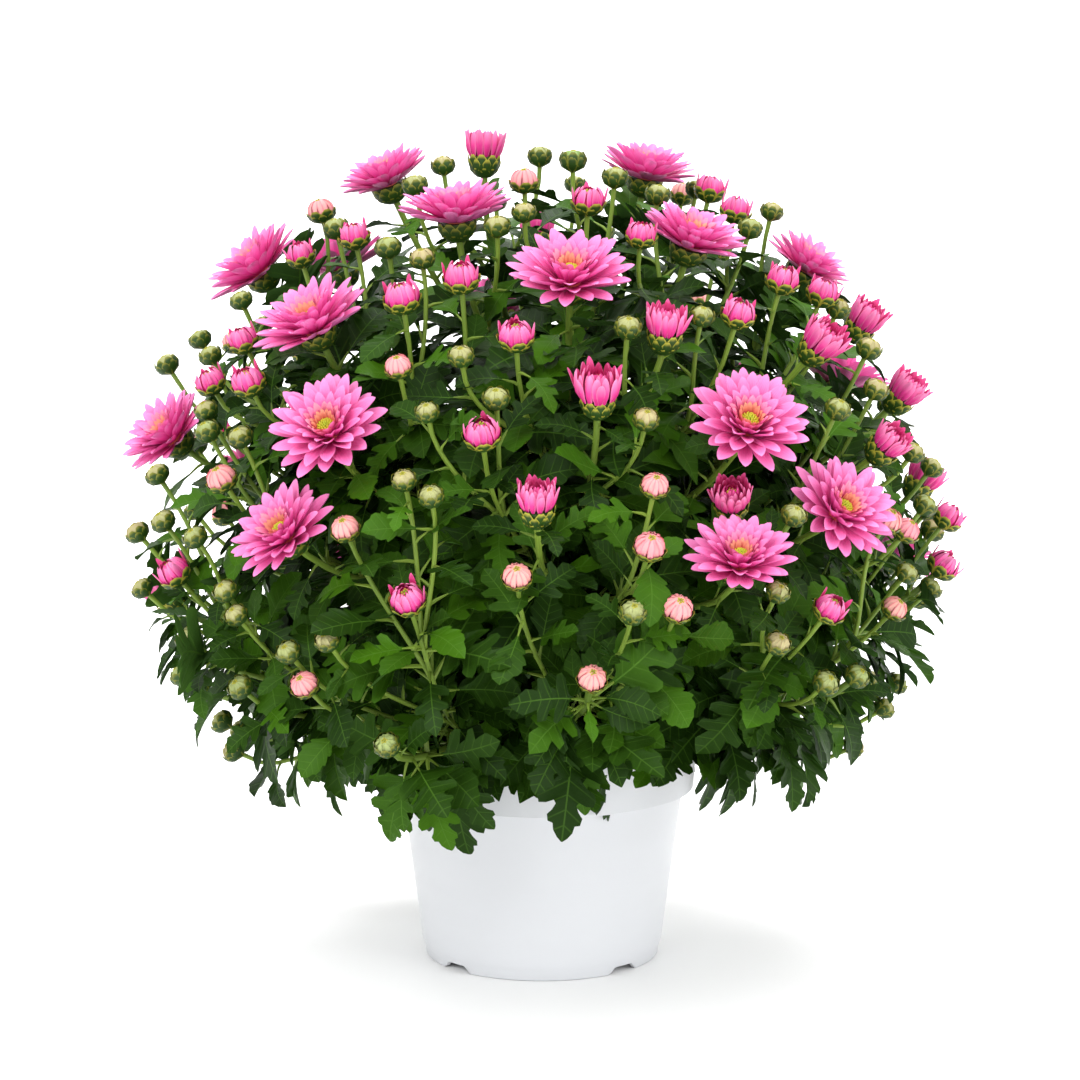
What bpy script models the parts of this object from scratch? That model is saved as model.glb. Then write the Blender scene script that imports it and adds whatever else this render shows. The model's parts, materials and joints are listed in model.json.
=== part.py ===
"""A pot chrysanthemum: a white plastic pot, its soil, and a dome of leafy stems in flower.

Metres, +Z up. The origin is on the pot's axis, on the surface that the pot stands on.
The front of the plant is on the -Y side.
"""
import math
from collections import namedtuple

import bmesh
import bpy
import numpy as np
from mathutils import Matrix, Vector

OBJECT_NAME = "pot_chrysanthemum"
GAP = 0.0003  # left between pieces that touch

# Pot, measured from the surface that it stands on
POT_HEIGHT = 0.115
LIP_RADIUS = 0.0830
LIP_DEPTH = 0.0055
LIP_CHAMFER = 0.0012
LIP_DRAFT = 0.0005
COLLAR_TOP_RADIUS = 0.0796
COLLAR_FOOT_RADIUS = 0.0782
COLLAR_FOOT_HEIGHT = 0.088
BODY_TOP_RADIUS = 0.0726
BODY_FOOT_RADIUS = 0.0622
FOOT_ROUNDING = 0.005
FOOT_RADIUS = 0.0602
FOOT_HEIGHT = 0.0038
FOOT_WIDTH = 0.0026
WALL = 0.0017
POT_STEPS = 24

# Notches in the foot ring, and drain holes in the floor
NOTCH_COUNT = 4
NOTCH_TURN = math.radians(43.5)
NOTCH_WIDTH = 0.018
NOTCH_TOP_WIDTH = 0.012
DRAIN_COUNT = 4
DRAIN_RADIUS = 0.004
DRAIN_CIRCLE = 0.036

# Soil
SOIL_TOP = 0.105
HOLE_DEPTH = 0.012

# The line of sight that the front heads were placed along, and the frame they were placed in
EYE_DISTANCE = 1.656
EYE_RISE = math.radians(8.62)
EYE_TARGET = np.array((-0.0011, 0.0, 0.2152))
FOCAL_PIXELS = 3239.0
FRAME_MIDDLE = 540.0

# The dome that the heads stand on, and the point under the soil that the stems fan out from
DOME_CENTRE = np.array((0.0, -0.003, 0.222))
DOME_RADII = np.array((0.199, 0.199, 0.188))
FOCUS = np.array((0.0, 0.0, 0.078))

# How far a head's base is set back from its place on the dome, as a share of its radius
SET_BACK = {"bloom": 0.35, "half_bloom": 0.4, "bud": 1.0}

# Stems: how many in each ring, their lean from the vertical and the first one's turn in degrees,
# the shares of a stem's length that bear whorls of leaves, and how many leaves stand alone
STEM_RINGS = (
    (1, 0, 0, (0.30, 0.48, 0.66, 0.84), 1),
    (7, 35, 12, (0.30, 0.48, 0.66, 0.84), 1),
    (11, 68, 5, (0.34, 0.52, 0.70, 0.88), 1),
)
STEM_RADIUS = 0.0025
STALK_RADIUS = 0.0017
BUD_STALK_RADIUS = 0.0012
STEM_NECK = 0.0015
STEM_RISE = 0.036
WIDEST_FOOT = 0.045
STALK_POINTS = {"bloom": 4, "half_bloom": 4, "bud": 3}
FORK_ANGLE = math.radians(24.0)
TEST_POINTS = 9
LEADER_BONUS = {"bloom": 0.10, "half_bloom": 0.04, "bud": 0.0}

# Open blooms seen from the front: pixel across and down, lean in the picture from upright,
# turn away from the eye (both in degrees) and radius in metres
FRONT_BLOOMS = (
    (383, 170, -22, 72, 0.0240),
    (455, 203, -5, 74, 0.0270),
    (250, 260, -40, 70, 0.0270),
    (308, 314, -25, 63, 0.0285),
    (325, 424, -20, 37, 0.0280),
    (163, 428, -45, 62, 0.0260),
    (278, 527, -40, 50, 0.0260),
    (570, 267, 0, 51, 0.0290),
    (648, 162, 10, 74, 0.0250),
    (695, 230, 18, 67, 0.0260),
    (812, 258, 33, 70, 0.0220),
    (750, 418, 15, 38, 0.0290),
    (846, 505, 40, 42, 0.0275),
    (741, 552, 5, 50, 0.0255),
)
# Half-open blooms seen from the front, in the same terms, and how far behind the dome each stands
FRONT_HALF_BLOOMS = (
    (485, 148, 3, 85, 0.0115, 0.0),
    (598, 388, 0, 60, 0.0125, 0.0),
    (731, 497, -5, 40, 0.0105, 0.022),
    (823, 340, 40, 60, 0.0120, 0.0),
    (866, 318, 35, 65, 0.0110, 0.0),
    (906, 390, 40, 68, 0.0110, 0.0),
    (890, 442, 45, 60, 0.0100, 0.0),
    (537, 499, 0, 60, 0.0105, 0.0),
    (666, 324, 5, 65, 0.0110, 0.0),
)
# Buds seen from the front: pixel across and down, radius, and how far behind the dome
FRONT_BUDS = (
    (402, 300, 0.0072, 0.0),
    (461, 280, 0.0070, 0.0),
    (516, 338, 0.0068, 0.0),
    (482, 436, 0.0070, 0.0),
    (588, 203, 0.0066, 0.0),
    (738, 316, 0.0066, 0.0),
    (710, 191, 0.0064, 0.0),
    (650, 546, 0.0070, 0.0),
    (408, 601, 0.0068, 0.0),
    (517, 576, 0.0064, 0.0),
    (592, 678, 0.0064, 0.0),
    (829, 610, 0.0064, 0.0),
    (221, 478, 0.0070, 0.0),
    (244, 342, 0.0062, 0.0),
    (942, 567, 0.0066, 0.0),
    (907, 530, 0.0062, 0.0),
    (895, 608, 0.0060, 0.0),
    (175, 574, 0.0068, 0.0),
    (167, 364, 0.0056, 0.035),
    (188, 639, 0.0058, 0.0),
    (857, 676, 0.0056, 0.0),
    (387, 745, 0.0056, 0.0),
    (573, 160, 0.0060, 0.0),
)
# Heads behind, which the picture doesn't show: how many, their radii and their distance apart
BACK_BLOOMS = (9, 0.0275, 0.076)
BACK_HALF_BLOOMS = (5, 0.0112, 0.054)
BACK_BUDS = (9, 0.0064, 0.044)
BACK_LOWEST = math.radians(62.0)  # from the vertical, seen from the focus
BACK_WIDTH = math.radians(98.0)  # to each side of straight back
BACK_TRIES = 200
BACK_SEED = 11

# Leaves: blade length and width, and the petiole under it
LEAF_LENGTH = 0.046
LEAF_WIDTH = 0.033
LEAF_THICKNESS = 0.0012
LEAF_FOLD = 0.22
BEND_SHORTENING = 0.3
PETIOLE_LENGTH = 0.013
PETIOLE_RADIUS = 0.0011
WHORL_LEAVES = 5
WHORL_DEPTH = 0.0045
WHORL_BEND = 0.25
WHORL_SIZES = (1.2, 1.05, 0.9, 0.75, 0.6, 0.45, 0.3, 0.15)
LOBE = (0.52, 0.5)  # where a whorl's leaf is widest: share of its length and of its width
WHORL_TURNS = (0.0, 0.15, -0.15, 0.3, -0.3)  # shares of the step between leaves
NOTCH = 0.62  # how far out the whorl's leaves part, as a share of their petioles
LOWEST_RISE = math.radians(0.0)
HIGHEST_RISE = math.radians(42.0)
LEAF_SPACING = 0.024
LEAF_TRIES = 160
LEAF_SEED = 5
# Half outline of a blade from its foot to its tip: share of the length, share of the width,
# and the rib point that it hangs from
RIB_SHARES = (0.36, 0.70)
BROAD_LEAF = (
    (0.20, 0.38, 0),
    (0.38, 0.19, 0),
    (0.60, 0.50, 1),
    (0.74, 0.24, 1),
)

# Cups under the flowers: radius of the top and depth
CALYX_SIZES = {"bloom": (0.0088, 0.008), "half_bloom": (0.0092, 0.0095)}
STALK_SINK = 0.003
BLOOM_PETALS = 11
HALF_BLOOM_PETALS = 7
FLOWER_TURN = 0.7

# The holes that the stems stand in
HOLE_SIDES = 6
HOLE_RADIUS = 0.0037

# How near a leaf may come to another stem's share of the plant, to heads, stalks and the pot
SHARE_MARGIN = 0.0012
HEAD_MARGIN = 0.0115
STALK_MARGIN = 0.0045
OWN_STALK_MARGIN = 0.0025
PETIOLE_TESTS = 2
BLOOM_MARGIN = 0.003
BLOOM_DEPTH = 0.024
POT_MARGIN = 0.006
LEAF_LEVEL = 0.93  # share of the dome's radius that leaves keep within at the top
LEAF_REACH = 1.065  # and at its widest

Head = namedtuple("Head", "kind base axis radius")
Branch = namedtuple("Branch", "controls head")
Leaf = namedtuple("Leaf", "root heading normal size bend")
Whorl = namedtuple("Whorl", "share start leaves")
Stem = namedtuple("Stem", "direction whorl_shares leaf_count")
Spray = namedtuple("Spray", "stem branches whorls leaves")


# Plan of the heads

def unit(vector):
    return vector / np.linalg.norm(vector)


def eye_frame():
    """Eye, and its right, up and forward directions."""
    away = np.array((0.0, -math.cos(EYE_RISE), math.sin(EYE_RISE)))
    right = np.array((1.0, 0.0, 0.0))
    up = np.cross(right, -away)
    return EYE_TARGET + EYE_DISTANCE * away, right, up, -away


def on_dome(across, down, behind=0.0):
    """Point of the dome's front under a pixel, or the nearest to the dome on its line of sight."""
    eye, right, up, forward = eye_frame()
    line = unit(forward + right * (across - FRAME_MIDDLE) / FOCAL_PIXELS
                - up * (down - FRAME_MIDDLE) / FOCAL_PIXELS)
    start = (eye - DOME_CENTRE) / DOME_RADII
    step = line / DOME_RADII
    nearest = -start.dot(step) / step.dot(step)
    depth = 1.0 - np.dot(start + nearest * step, start + nearest * step)
    back = math.sqrt(max(depth, 0.0) / step.dot(step))
    return eye + (nearest - back + behind) * line


def facing(lean, turn):
    """Axis of a head that leans in the picture and is turned away from the eye."""
    _, right, up, forward = eye_frame()
    across = math.sin(math.radians(lean)) * right + math.cos(math.radians(lean)) * up
    return -math.cos(math.radians(turn)) * forward + math.sin(math.radians(turn)) * across


def outward(place, lift=0.45):
    """Axis of a head that faces out from the focus, raised a little to the light."""
    return unit(unit(place - FOCUS) + np.array((0.0, 0.0, lift)))


def set_head(kind, place, axis, radius):
    return Head(kind, place - SET_BACK[kind] * radius * axis, axis, radius)


def front_heads():
    heads = []
    for across, down, lean, turn, radius in FRONT_BLOOMS:
        axis = facing(lean, turn)
        heads.append(set_head("bloom", on_dome(across, down), axis, radius))
    for across, down, lean, turn, radius, behind in FRONT_HALF_BLOOMS:
        heads.append(set_head("half_bloom", on_dome(across, down, behind), facing(lean, turn), radius))
    for across, down, radius, behind in FRONT_BUDS:
        place = on_dome(across, down, behind)
        heads.append(set_head("bud", place, outward(place), radius))
    return heads


def dome_point(turn, lean):
    """Point of the dome on a line from the focus, by its turn from +Y and lean from the vertical."""
    line = np.array((math.sin(lean) * math.sin(turn), math.sin(lean) * math.cos(turn), math.cos(lean)))
    start = (FOCUS - DOME_CENTRE) / DOME_RADII
    step = line / DOME_RADII
    middle = -start.dot(step) / step.dot(step)
    return FOCUS + (middle + math.sqrt(middle ** 2 - (start.dot(start) - 1.0) / step.dot(step))) * line


def back_heads(heads):
    """Heads spread evenly over the back, each set clear of all that are there."""
    draw = np.random.default_rng(BACK_SEED)
    added = []
    for kind, (count, radius, apart) in (
        ("bloom", BACK_BLOOMS),
        ("half_bloom", BACK_HALF_BLOOMS),
        ("bud", BACK_BUDS),
    ):
        for _ in range(count):
            taken = np.array([head.base for head in heads + added])
            best = None
            for _ in range(BACK_TRIES):
                turn = draw.uniform(-BACK_WIDTH, BACK_WIDTH)
                lean = math.acos(draw.uniform(math.cos(BACK_LOWEST), 1.0))
                place = dome_point(turn, lean)
                room = np.linalg.norm(taken - place, axis=1).min()
                if best is None or room > best[0]:
                    best = (room, place)
                if room > apart:
                    break
            added.append(set_head(kind, best[1], outward(best[1]), radius))
    return added


# Plan of the stems

def plan_stems():
    stems = []
    for count, lean, first, whorl_shares, leaf_count in STEM_RINGS:
        for index in range(count):
            turn = math.radians(first + 360.0 * index / count)
            slope = math.radians(lean)
            direction = np.array((
                math.sin(slope) * math.sin(turn), math.sin(slope) * math.cos(turn), math.cos(slope)))
            stems.append(Stem(direction, whorl_shares, leaf_count))
    return stems


def nearest_stem(place, stems):
    ray = unit(place - FOCUS)
    return int(np.argmax([ray.dot(stem.direction) for stem in stems]))


def stem_foot(direction):
    """Where a stem leaves the soil."""
    level = direction * (1.0, 1.0, 0.0)
    spread = np.linalg.norm(level)
    away = min((SOIL_TOP - FOCUS[2]) * spread / direction[2], WIDEST_FOOT)
    return np.array((0.0, 0.0, SOIL_TOP)) + level * away / max(spread, GAP)


def bezier(controls, share):
    """Point of a Bezier curve and its direction there."""
    points = [np.asarray(point) for point in controls]
    while len(points) > 2:
        points = [a + (b - a) * share for a, b in zip(points, points[1:])]
    return points[0] + (points[1] - points[0]) * share, unit(points[1] - points[0])


def curve_points(controls, count):
    return np.array([bezier(controls, index / (count - 1))[0] for index in range(count)])


def curve_length(controls):
    return np.linalg.norm(np.diff(curve_points(controls, TEST_POINTS), axis=0), axis=1).sum()


def along(points, share):
    """Point and direction at a share of a line of points."""
    index = min(int(share * (len(points) - 1)), len(points) - 2)
    span = points[index + 1] - points[index]
    return points[index] + span * (share * (len(points) - 1) - index), unit(span)


def stem_branch(stem, head):
    """Stem from the soil to its leading head: straight up over the pot's rim, then outwards."""
    foot = stem_foot(stem.direction) + (0.0, 0.0, STEM_NECK)
    length = np.linalg.norm(head.base - foot)
    rise = foot + (0.0, 0.0, STEM_RISE) + stem.direction * 0.08 * length
    return Branch((foot, rise, head.base - head.axis * 0.25 * length, head.base), head)


def side_branch(stem, stem_curve, head):
    """Stalk that forks off at a whorl at a narrow angle and meets its head along the head's axis."""
    gaps = [np.linalg.norm(bezier(stem_curve, share)[0] - head.base) for share in np.linspace(0.0, 1.0, 41)]
    fork = np.argmin(gaps) / 40.0 - min(gaps) / math.tan(FORK_ANGLE) / curve_length(stem_curve)
    fork = min(stem.whorl_shares, key=lambda share: abs(share - fork))
    start, heading = bezier(stem_curve, fork)
    reach = np.linalg.norm(head.base - start)
    first, second = start + heading * 0.3 * reach, head.base - head.axis * 0.35 * reach
    return Branch((start, first, second, head.base), head)


def plan_branches(stem, heads):
    """The stem and the stalks that carry a share of the heads; the first is the stem."""
    def lead(head):
        return unit(head.base - FOCUS).dot(stem.direction) + LEADER_BONUS[head.kind]
    heads = sorted(heads, key=lead, reverse=True)
    first = stem_branch(stem, heads[0])
    return [first] + [side_branch(stem, first.controls, head) for head in heads[1:]]


# Plan of the leaves

def blade_point(leaf, share, width, rise):
    """Point of a blade by its shares of length and width and its rise off the middle surface."""
    across = np.cross(leaf.heading, leaf.normal)
    length = share * LEAF_LENGTH * leaf.size
    half_width = width * LEAF_WIDTH * leaf.size
    out = PETIOLE_LENGTH * leaf.size + length * (1.0 - BEND_SHORTENING * leaf.bend * share)
    lift = rise + LEAF_FOLD * abs(half_width) - leaf.bend * length * share
    return leaf.root + leaf.heading * out + across * half_width + leaf.normal * lift


def leaf_points(leaf):
    """Points all over a leaf, its petiole's root left out."""
    points = [leaf.root + leaf.heading * PETIOLE_LENGTH * leaf.size * (index + 1) / PETIOLE_TESTS
              for index in range(PETIOLE_TESTS)]
    points += [blade_point(leaf, share, 0.0, 0.0) for share in RIB_SHARES + (1.0,)]
    for share, width, _ in BROAD_LEAF:
        for side in (-1.0, 1.0):
            points.append(blade_point(leaf, share, side * width, 0.0))
            points.append(blade_point(leaf, share, side * width * 0.5, 0.0))
    return np.array(points)


def share_planes(stems):
    """For each stem, the normals of the planes through the focus that part it from the others."""
    return [np.array([unit(own.direction - other.direction) for other in stems if other is not own])
            for own in stems]


def straight_pieces(branches):
    """Starts and ends of the short straight pieces that branches are tested by."""
    lines = [curve_points(branch.controls, TEST_POINTS) for branch in branches]
    return np.concatenate([line[:-1] for line in lines]), np.concatenate([line[1:] for line in lines])


def gap_to_lines(points, starts, ends):
    """Least distance from any of the points to any of the straight pieces."""
    spans = ends - starts
    offsets = points[:, None, :] - starts[None, :, :]
    shares = np.clip((offsets * spans).sum(axis=2) / (spans ** 2).sum(axis=1), 0.0, 1.0)
    return np.linalg.norm(offsets - shares[:, :, None] * spans, axis=2).min()


def clear_of_pot(points):
    away = np.hypot(points[:, 0], points[:, 1])
    low = points[:, 2] < POT_HEIGHT + POT_MARGIN
    return not (low & (away < LIP_RADIUS + POT_MARGIN)).any()


def within_dome(points):
    """Whether points stay inside the dome of leaves, which the heads at the top stand above."""
    scaled = np.linalg.norm((points - DOME_CENTRE) / DOME_RADII, axis=1)
    height = np.clip((points[:, 2] - DOME_CENTRE[2]) / DOME_RADII[2], 0.0, 1.0)
    return (scaled < LEAF_REACH + (LEAF_LEVEL - LEAF_REACH) * height).all()


class Surroundings:
    """What the leaves of one spray keep clear of."""

    def __init__(self, index, planes, plant):
        self.planes = planes[index]
        heads = [branch.head for branches in plant for branch in branches]
        self.bases = np.array([head.base for head in heads])
        flowers = [head for head in heads if head.kind != "bud"]
        self.flower_bases = np.array([head.base for head in flowers])
        self.flower_axes = np.array([head.axis for head in flowers])
        self.flower_reach = np.array([head.radius for head in flowers]) + BLOOM_MARGIN
        others = [branch for number, branches in enumerate(plant) if number != index for branch in branches]
        self.others = straight_pieces(others)
        self.own = straight_pieces(plant[index])

    def clear(self, leaf):
        points = leaf_points(leaf)
        if (self.planes @ (points - FOCUS).T).min() < SHARE_MARGIN:
            return False
        if not within_dome(points) or not clear_of_pot(points) or self.in_flower(points):
            return False
        if np.linalg.norm(points[:, None, :] - self.bases, axis=2).min() < HEAD_MARGIN:
            return False
        blade = points[PETIOLE_TESTS:]
        return (gap_to_lines(points, *self.others) > STALK_MARGIN
                and gap_to_lines(blade, *self.own) > OWN_STALK_MARGIN)

    def in_flower(self, points):
        """Whether a point is in the space of a bloom, which widens upwards from its base."""
        offsets = points[:, None, :] - self.flower_bases
        rise = (offsets * self.flower_axes).sum(axis=2)
        away = np.linalg.norm(offsets - rise[:, :, None] * self.flower_axes, axis=2)
        inside = (away < self.flower_reach) & (rise < BLOOM_DEPTH) & (rise > 0.15 * away - 0.006)
        return inside.any()


def level_frame(direction, way):
    """Two directions square to a stem's way, the first as level as the stem's lean allows."""
    level = unit(np.cross((0.0, 1.0, 0.0) if direction[2] > 0.99 else (0.0, 0.0, 1.0), direction))
    first = unit(level - way * level.dot(way))
    return first, np.cross(way, first)


def whorl_leaves(root, way, frame, start, rise, surroundings):
    """Leaves all round a stem, each as large as its surroundings leave room for."""
    leaves = []
    for index in range(WHORL_LEAVES):
        turn = 2.0 * math.pi * (index + start) / WHORL_LEAVES
        out = math.cos(turn) * frame[0] + math.sin(turn) * frame[1]
        heading = unit(math.cos(rise) * out + math.sin(rise) * way)
        normal = unit(way - heading * way.dot(heading))
        for size in WHORL_SIZES:
            leaf = Leaf(root, heading, normal, size, WHORL_BEND)
            if surroundings.clear(leaf):
                break
        leaves.append(leaf)
    return leaves


def plan_whorl(stem, curve, number, surroundings):
    """Whorl at one place of a stem, turned to where its leaves have most room."""
    share = stem.whorl_shares[number]
    root, way = bezier(curve, share)
    frame = level_frame(stem.direction, way)
    rise = LOWEST_RISE + (HIGHEST_RISE - LOWEST_RISE) * number / (len(stem.whorl_shares) - 1)
    whorls = []
    for shift in WHORL_TURNS:
        start = 1.0 + 0.5 * number + shift
        whorls.append(Whorl(share, start, whorl_leaves(root, way, frame, start, rise, surroundings)))
    return max(whorls, key=lambda whorl: sum(leaf.size for leaf in whorl.leaves))


def draw_leaf(draw, spines):
    """A leaf at a random place on a spray, rising from its stalk and turned to the light."""
    lengths = np.array([np.linalg.norm(spine[-1] - spine[0]) for spine in spines])
    spine = spines[draw.choice(len(spines), p=lengths / lengths.sum())]
    share = draw.uniform(0.3, 0.93)
    root, way = along(spine, share)
    out = unit(root - FOCUS)
    side = unit(np.cross(way, draw.normal(size=3)))
    heading = unit(0.55 * way + 0.85 * side - np.array((0.0, 0.0, 0.22)))
    light = 0.7 * out + np.array((0.0, 0.0, 0.6)) + 0.25 * draw.normal(size=3)
    normal = unit(light - heading * light.dot(heading))
    size = draw.uniform(0.85, 1.12) * (1.0 - 0.3 * max(share - 0.6, 0.0))
    return Leaf(root, heading, normal, size, draw.uniform(0.1, 0.4))


def lone_leaves(stem, index, branches, surroundings):
    """The outermost of many leaves drawn at random that keep clear of all around them."""
    draw = np.random.default_rng(LEAF_SEED + index)
    spines = [np.array([bezier(branches[0].controls, share)[0] for share in (0.0, *stem.whorl_shares, 1.0)])]
    spines += [curve_points(branch.controls, STALK_POINTS[branch.head.kind]) for branch in branches[1:]]
    tried = []
    for _ in range(LEAF_TRIES):
        leaf = draw_leaf(draw, spines)
        if surroundings.clear(leaf):
            middle = leaf_points(leaf).mean(axis=0)
            tried.append((np.linalg.norm((middle - DOME_CENTRE) / DOME_RADII), middle, leaf))
    chosen = []
    for _, middle, leaf in sorted(tried, key=lambda row: -row[0]):
        if all(np.linalg.norm(middle - other) > LEAF_SPACING for other, _ in chosen):
            chosen.append((middle, leaf))
    return [leaf for _, leaf in chosen[:stem.leaf_count]]


def plan_plant():
    """All sprays: for each, its branches, its whorls and the leaves that stand alone."""
    heads = front_heads()
    heads += back_heads(heads)
    stems = plan_stems()
    shares = [[] for _ in stems]
    for head in heads:
        shares[nearest_stem(head.base, stems)].append(head)
    plant = [plan_branches(stem, share) for stem, share in zip(stems, shares)]
    planes = share_planes(stems)
    sprays = []
    for index, (stem, branches) in enumerate(zip(stems, plant)):
        surroundings = Surroundings(index, planes, plant)
        whorls = [plan_whorl(stem, branches[0].controls, number, surroundings)
                  for number in range(len(stem.whorl_shares))]
        sprays.append(Spray(stem, branches, whorls, lone_leaves(stem, index, branches, surroundings)))
    return sprays


# Making the pieces

def clear_scene():
    for item in list(bpy.data.objects):
        bpy.data.objects.remove(item, do_unlink=True)


def new_collection(name):
    collection = bpy.data.collections.new(name)
    bpy.context.scene.collection.children.link(collection)
    return collection


def new_material(name, colour, roughness):
    material = bpy.data.materials.new(name)
    material.use_nodes = True
    shader = material.node_tree.nodes["Principled BSDF"]
    shader.inputs["Base Color"].default_value = (*colour, 1.0)
    shader.inputs["Roughness"].default_value = roughness
    shader.inputs["Metallic"].default_value = 0.0
    return material


def add_object(name, mesh, collection):
    item = bpy.data.objects.new(name, mesh)
    collection.objects.link(item)
    return item


def mesh_of(name, work):
    """Mesh from a bmesh, with its faces turned outwards."""
    bmesh.ops.recalc_face_normals(work, faces=work.faces)
    mesh = bpy.data.meshes.new(name)
    work.to_mesh(mesh)
    work.free()
    return mesh


def frame_at(place, axis, turn=0.0):
    """Matrix that puts +Z on an axis at a place, after a turn about it."""
    rotation = Vector(axis).to_track_quat("Z", "Y").to_matrix().to_4x4()
    return Matrix.Translation(Vector(place)) @ rotation @ Matrix.Rotation(turn, 4, "Z")


def turned(name, profile, collection):
    """Body of revolution about Z from a profile that runs down its outer side."""
    mesh = bpy.data.meshes.new(name)
    rows = [(radius, 0.0, height) for radius, height in profile]
    mesh.from_pydata(rows, [(index, index + 1) for index in range(len(rows) - 1)], [])
    item = add_object(name, mesh, collection)
    screw = item.modifiers.new("Turn", "SCREW")
    screw.axis = "Z"
    screw.steps = POT_STEPS
    screw.render_steps = POT_STEPS
    screw.use_merge_vertices = True
    screw.merge_threshold = 0.00001
    screw.use_smooth_shade = True
    return item


def cut(item, cutters):
    boolean = item.modifiers.new("Cut", "BOOLEAN")
    boolean.operation = "DIFFERENCE"
    boolean.operand_type = "COLLECTION"
    boolean.collection = cutters
    boolean.solver = "EXACT"


def add_cutter(name, work, cutters):
    cutter = add_object(name, mesh_of(name, work), cutters)
    cutter.hide_render = True
    cutter.display_type = "WIRE"


def pot_profile():
    floor_top = FOOT_HEIGHT + WALL
    lip_foot = POT_HEIGHT - LIP_DEPTH
    return (
        (0.0, floor_top),
        (BODY_FOOT_RADIUS - WALL, floor_top),
        (BODY_TOP_RADIUS - WALL, COLLAR_FOOT_HEIGHT + WALL),
        (COLLAR_FOOT_RADIUS - WALL, COLLAR_FOOT_HEIGHT + WALL),
        (COLLAR_TOP_RADIUS - WALL, POT_HEIGHT),
        (LIP_RADIUS - LIP_CHAMFER, POT_HEIGHT),
        (LIP_RADIUS, POT_HEIGHT - LIP_CHAMFER),
        (LIP_RADIUS - LIP_DRAFT, lip_foot),
        (COLLAR_TOP_RADIUS, lip_foot),
        (COLLAR_FOOT_RADIUS, COLLAR_FOOT_HEIGHT),
        (BODY_TOP_RADIUS, COLLAR_FOOT_HEIGHT),
        (BODY_FOOT_RADIUS, FOOT_HEIGHT + FOOT_ROUNDING),
        (FOOT_RADIUS, FOOT_HEIGHT),
        (FOOT_RADIUS, 0.0),
        (FOOT_RADIUS - FOOT_WIDTH, 0.0),
        (FOOT_RADIUS - FOOT_WIDTH, FOOT_HEIGHT),
        (0.0, FOOT_HEIGHT),
    )


def soil_profile():
    floor_top = FOOT_HEIGHT + WALL
    slope = (COLLAR_TOP_RADIUS - COLLAR_FOOT_RADIUS) / (POT_HEIGHT - COLLAR_FOOT_HEIGHT)
    rim = COLLAR_FOOT_RADIUS + slope * (SOIL_TOP - COLLAR_FOOT_HEIGHT) - WALL - 2.0 * GAP
    return (
        (0.0, SOIL_TOP),
        (rim, SOIL_TOP),
        (COLLAR_FOOT_RADIUS - WALL - GAP, COLLAR_FOOT_HEIGHT + WALL + GAP),
        (BODY_TOP_RADIUS - WALL - 2.0 * GAP, COLLAR_FOOT_HEIGHT + WALL + GAP),
        (BODY_FOOT_RADIUS - WALL - 2.0 * GAP, floor_top + GAP),
        (0.0, floor_top + GAP),
    )


def notch_cutters(cutters):
    """Wedges that notch the foot ring, wider at the surface that it stands on."""
    for index in range(NOTCH_COUNT):
        turn = NOTCH_TURN + 2.0 * math.pi * index / NOTCH_COUNT
        work = bmesh.new()
        bmesh.ops.create_cube(work, size=1.0)
        for corner in work.verts:
            width = NOTCH_WIDTH if corner.co.z < 0.0 else NOTCH_TOP_WIDTH
            corner.co.x *= width
            corner.co.y = FOOT_RADIUS + corner.co.y * 6.0 * FOOT_WIDTH
            corner.co.z = -GAP if corner.co.z < 0.0 else FOOT_HEIGHT - GAP
        bmesh.ops.rotate(work, verts=work.verts, cent=(0, 0, 0), matrix=Matrix.Rotation(turn, 3, "Z"))
        add_cutter(f"notch_cutter_{index}", work, cutters)


def drain_cutters(cutters):
    for index in range(DRAIN_COUNT):
        turn = 2.0 * math.pi * index / DRAIN_COUNT
        place = (DRAIN_CIRCLE * math.sin(turn), DRAIN_CIRCLE * math.cos(turn), FOOT_HEIGHT)
        work = bmesh.new()
        bmesh.ops.create_cone(work, cap_ends=True, segments=8, radius1=DRAIN_RADIUS, radius2=DRAIN_RADIUS,
                              depth=4.0 * WALL, matrix=Matrix.Translation(place))
        add_cutter(f"drain_cutter_{index}", work, cutters)


def make_pot(collection):
    pot = turned("pot", pot_profile(), collection)
    cutters = new_collection("pot_cutters")
    notch_cutters(cutters)
    drain_cutters(cutters)
    cut(pot, cutters)
    pot.data.materials.append(new_material("white_plastic", (0.86, 0.86, 0.87), 0.42))


def make_soil(sprays, collection):
    soil = turned("soil", soil_profile(), collection)
    cutters = new_collection("stem_hole_cutters")
    for index, spray in enumerate(sprays):
        place = Matrix.Translation(Vector(stem_foot(spray.stem.direction)))
        work = bmesh.new()
        bmesh.ops.create_cone(work, cap_ends=True, segments=HOLE_SIDES, radius1=HOLE_RADIUS,
                              radius2=HOLE_RADIUS, depth=2.0 * HOLE_DEPTH, matrix=place)
        add_cutter(f"stem_hole_cutter_{index:02d}", work, cutters)
    cut(soil, cutters)
    soil.data.materials.append(new_material("potting_soil", (0.045, 0.03, 0.02), 0.95))


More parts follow.
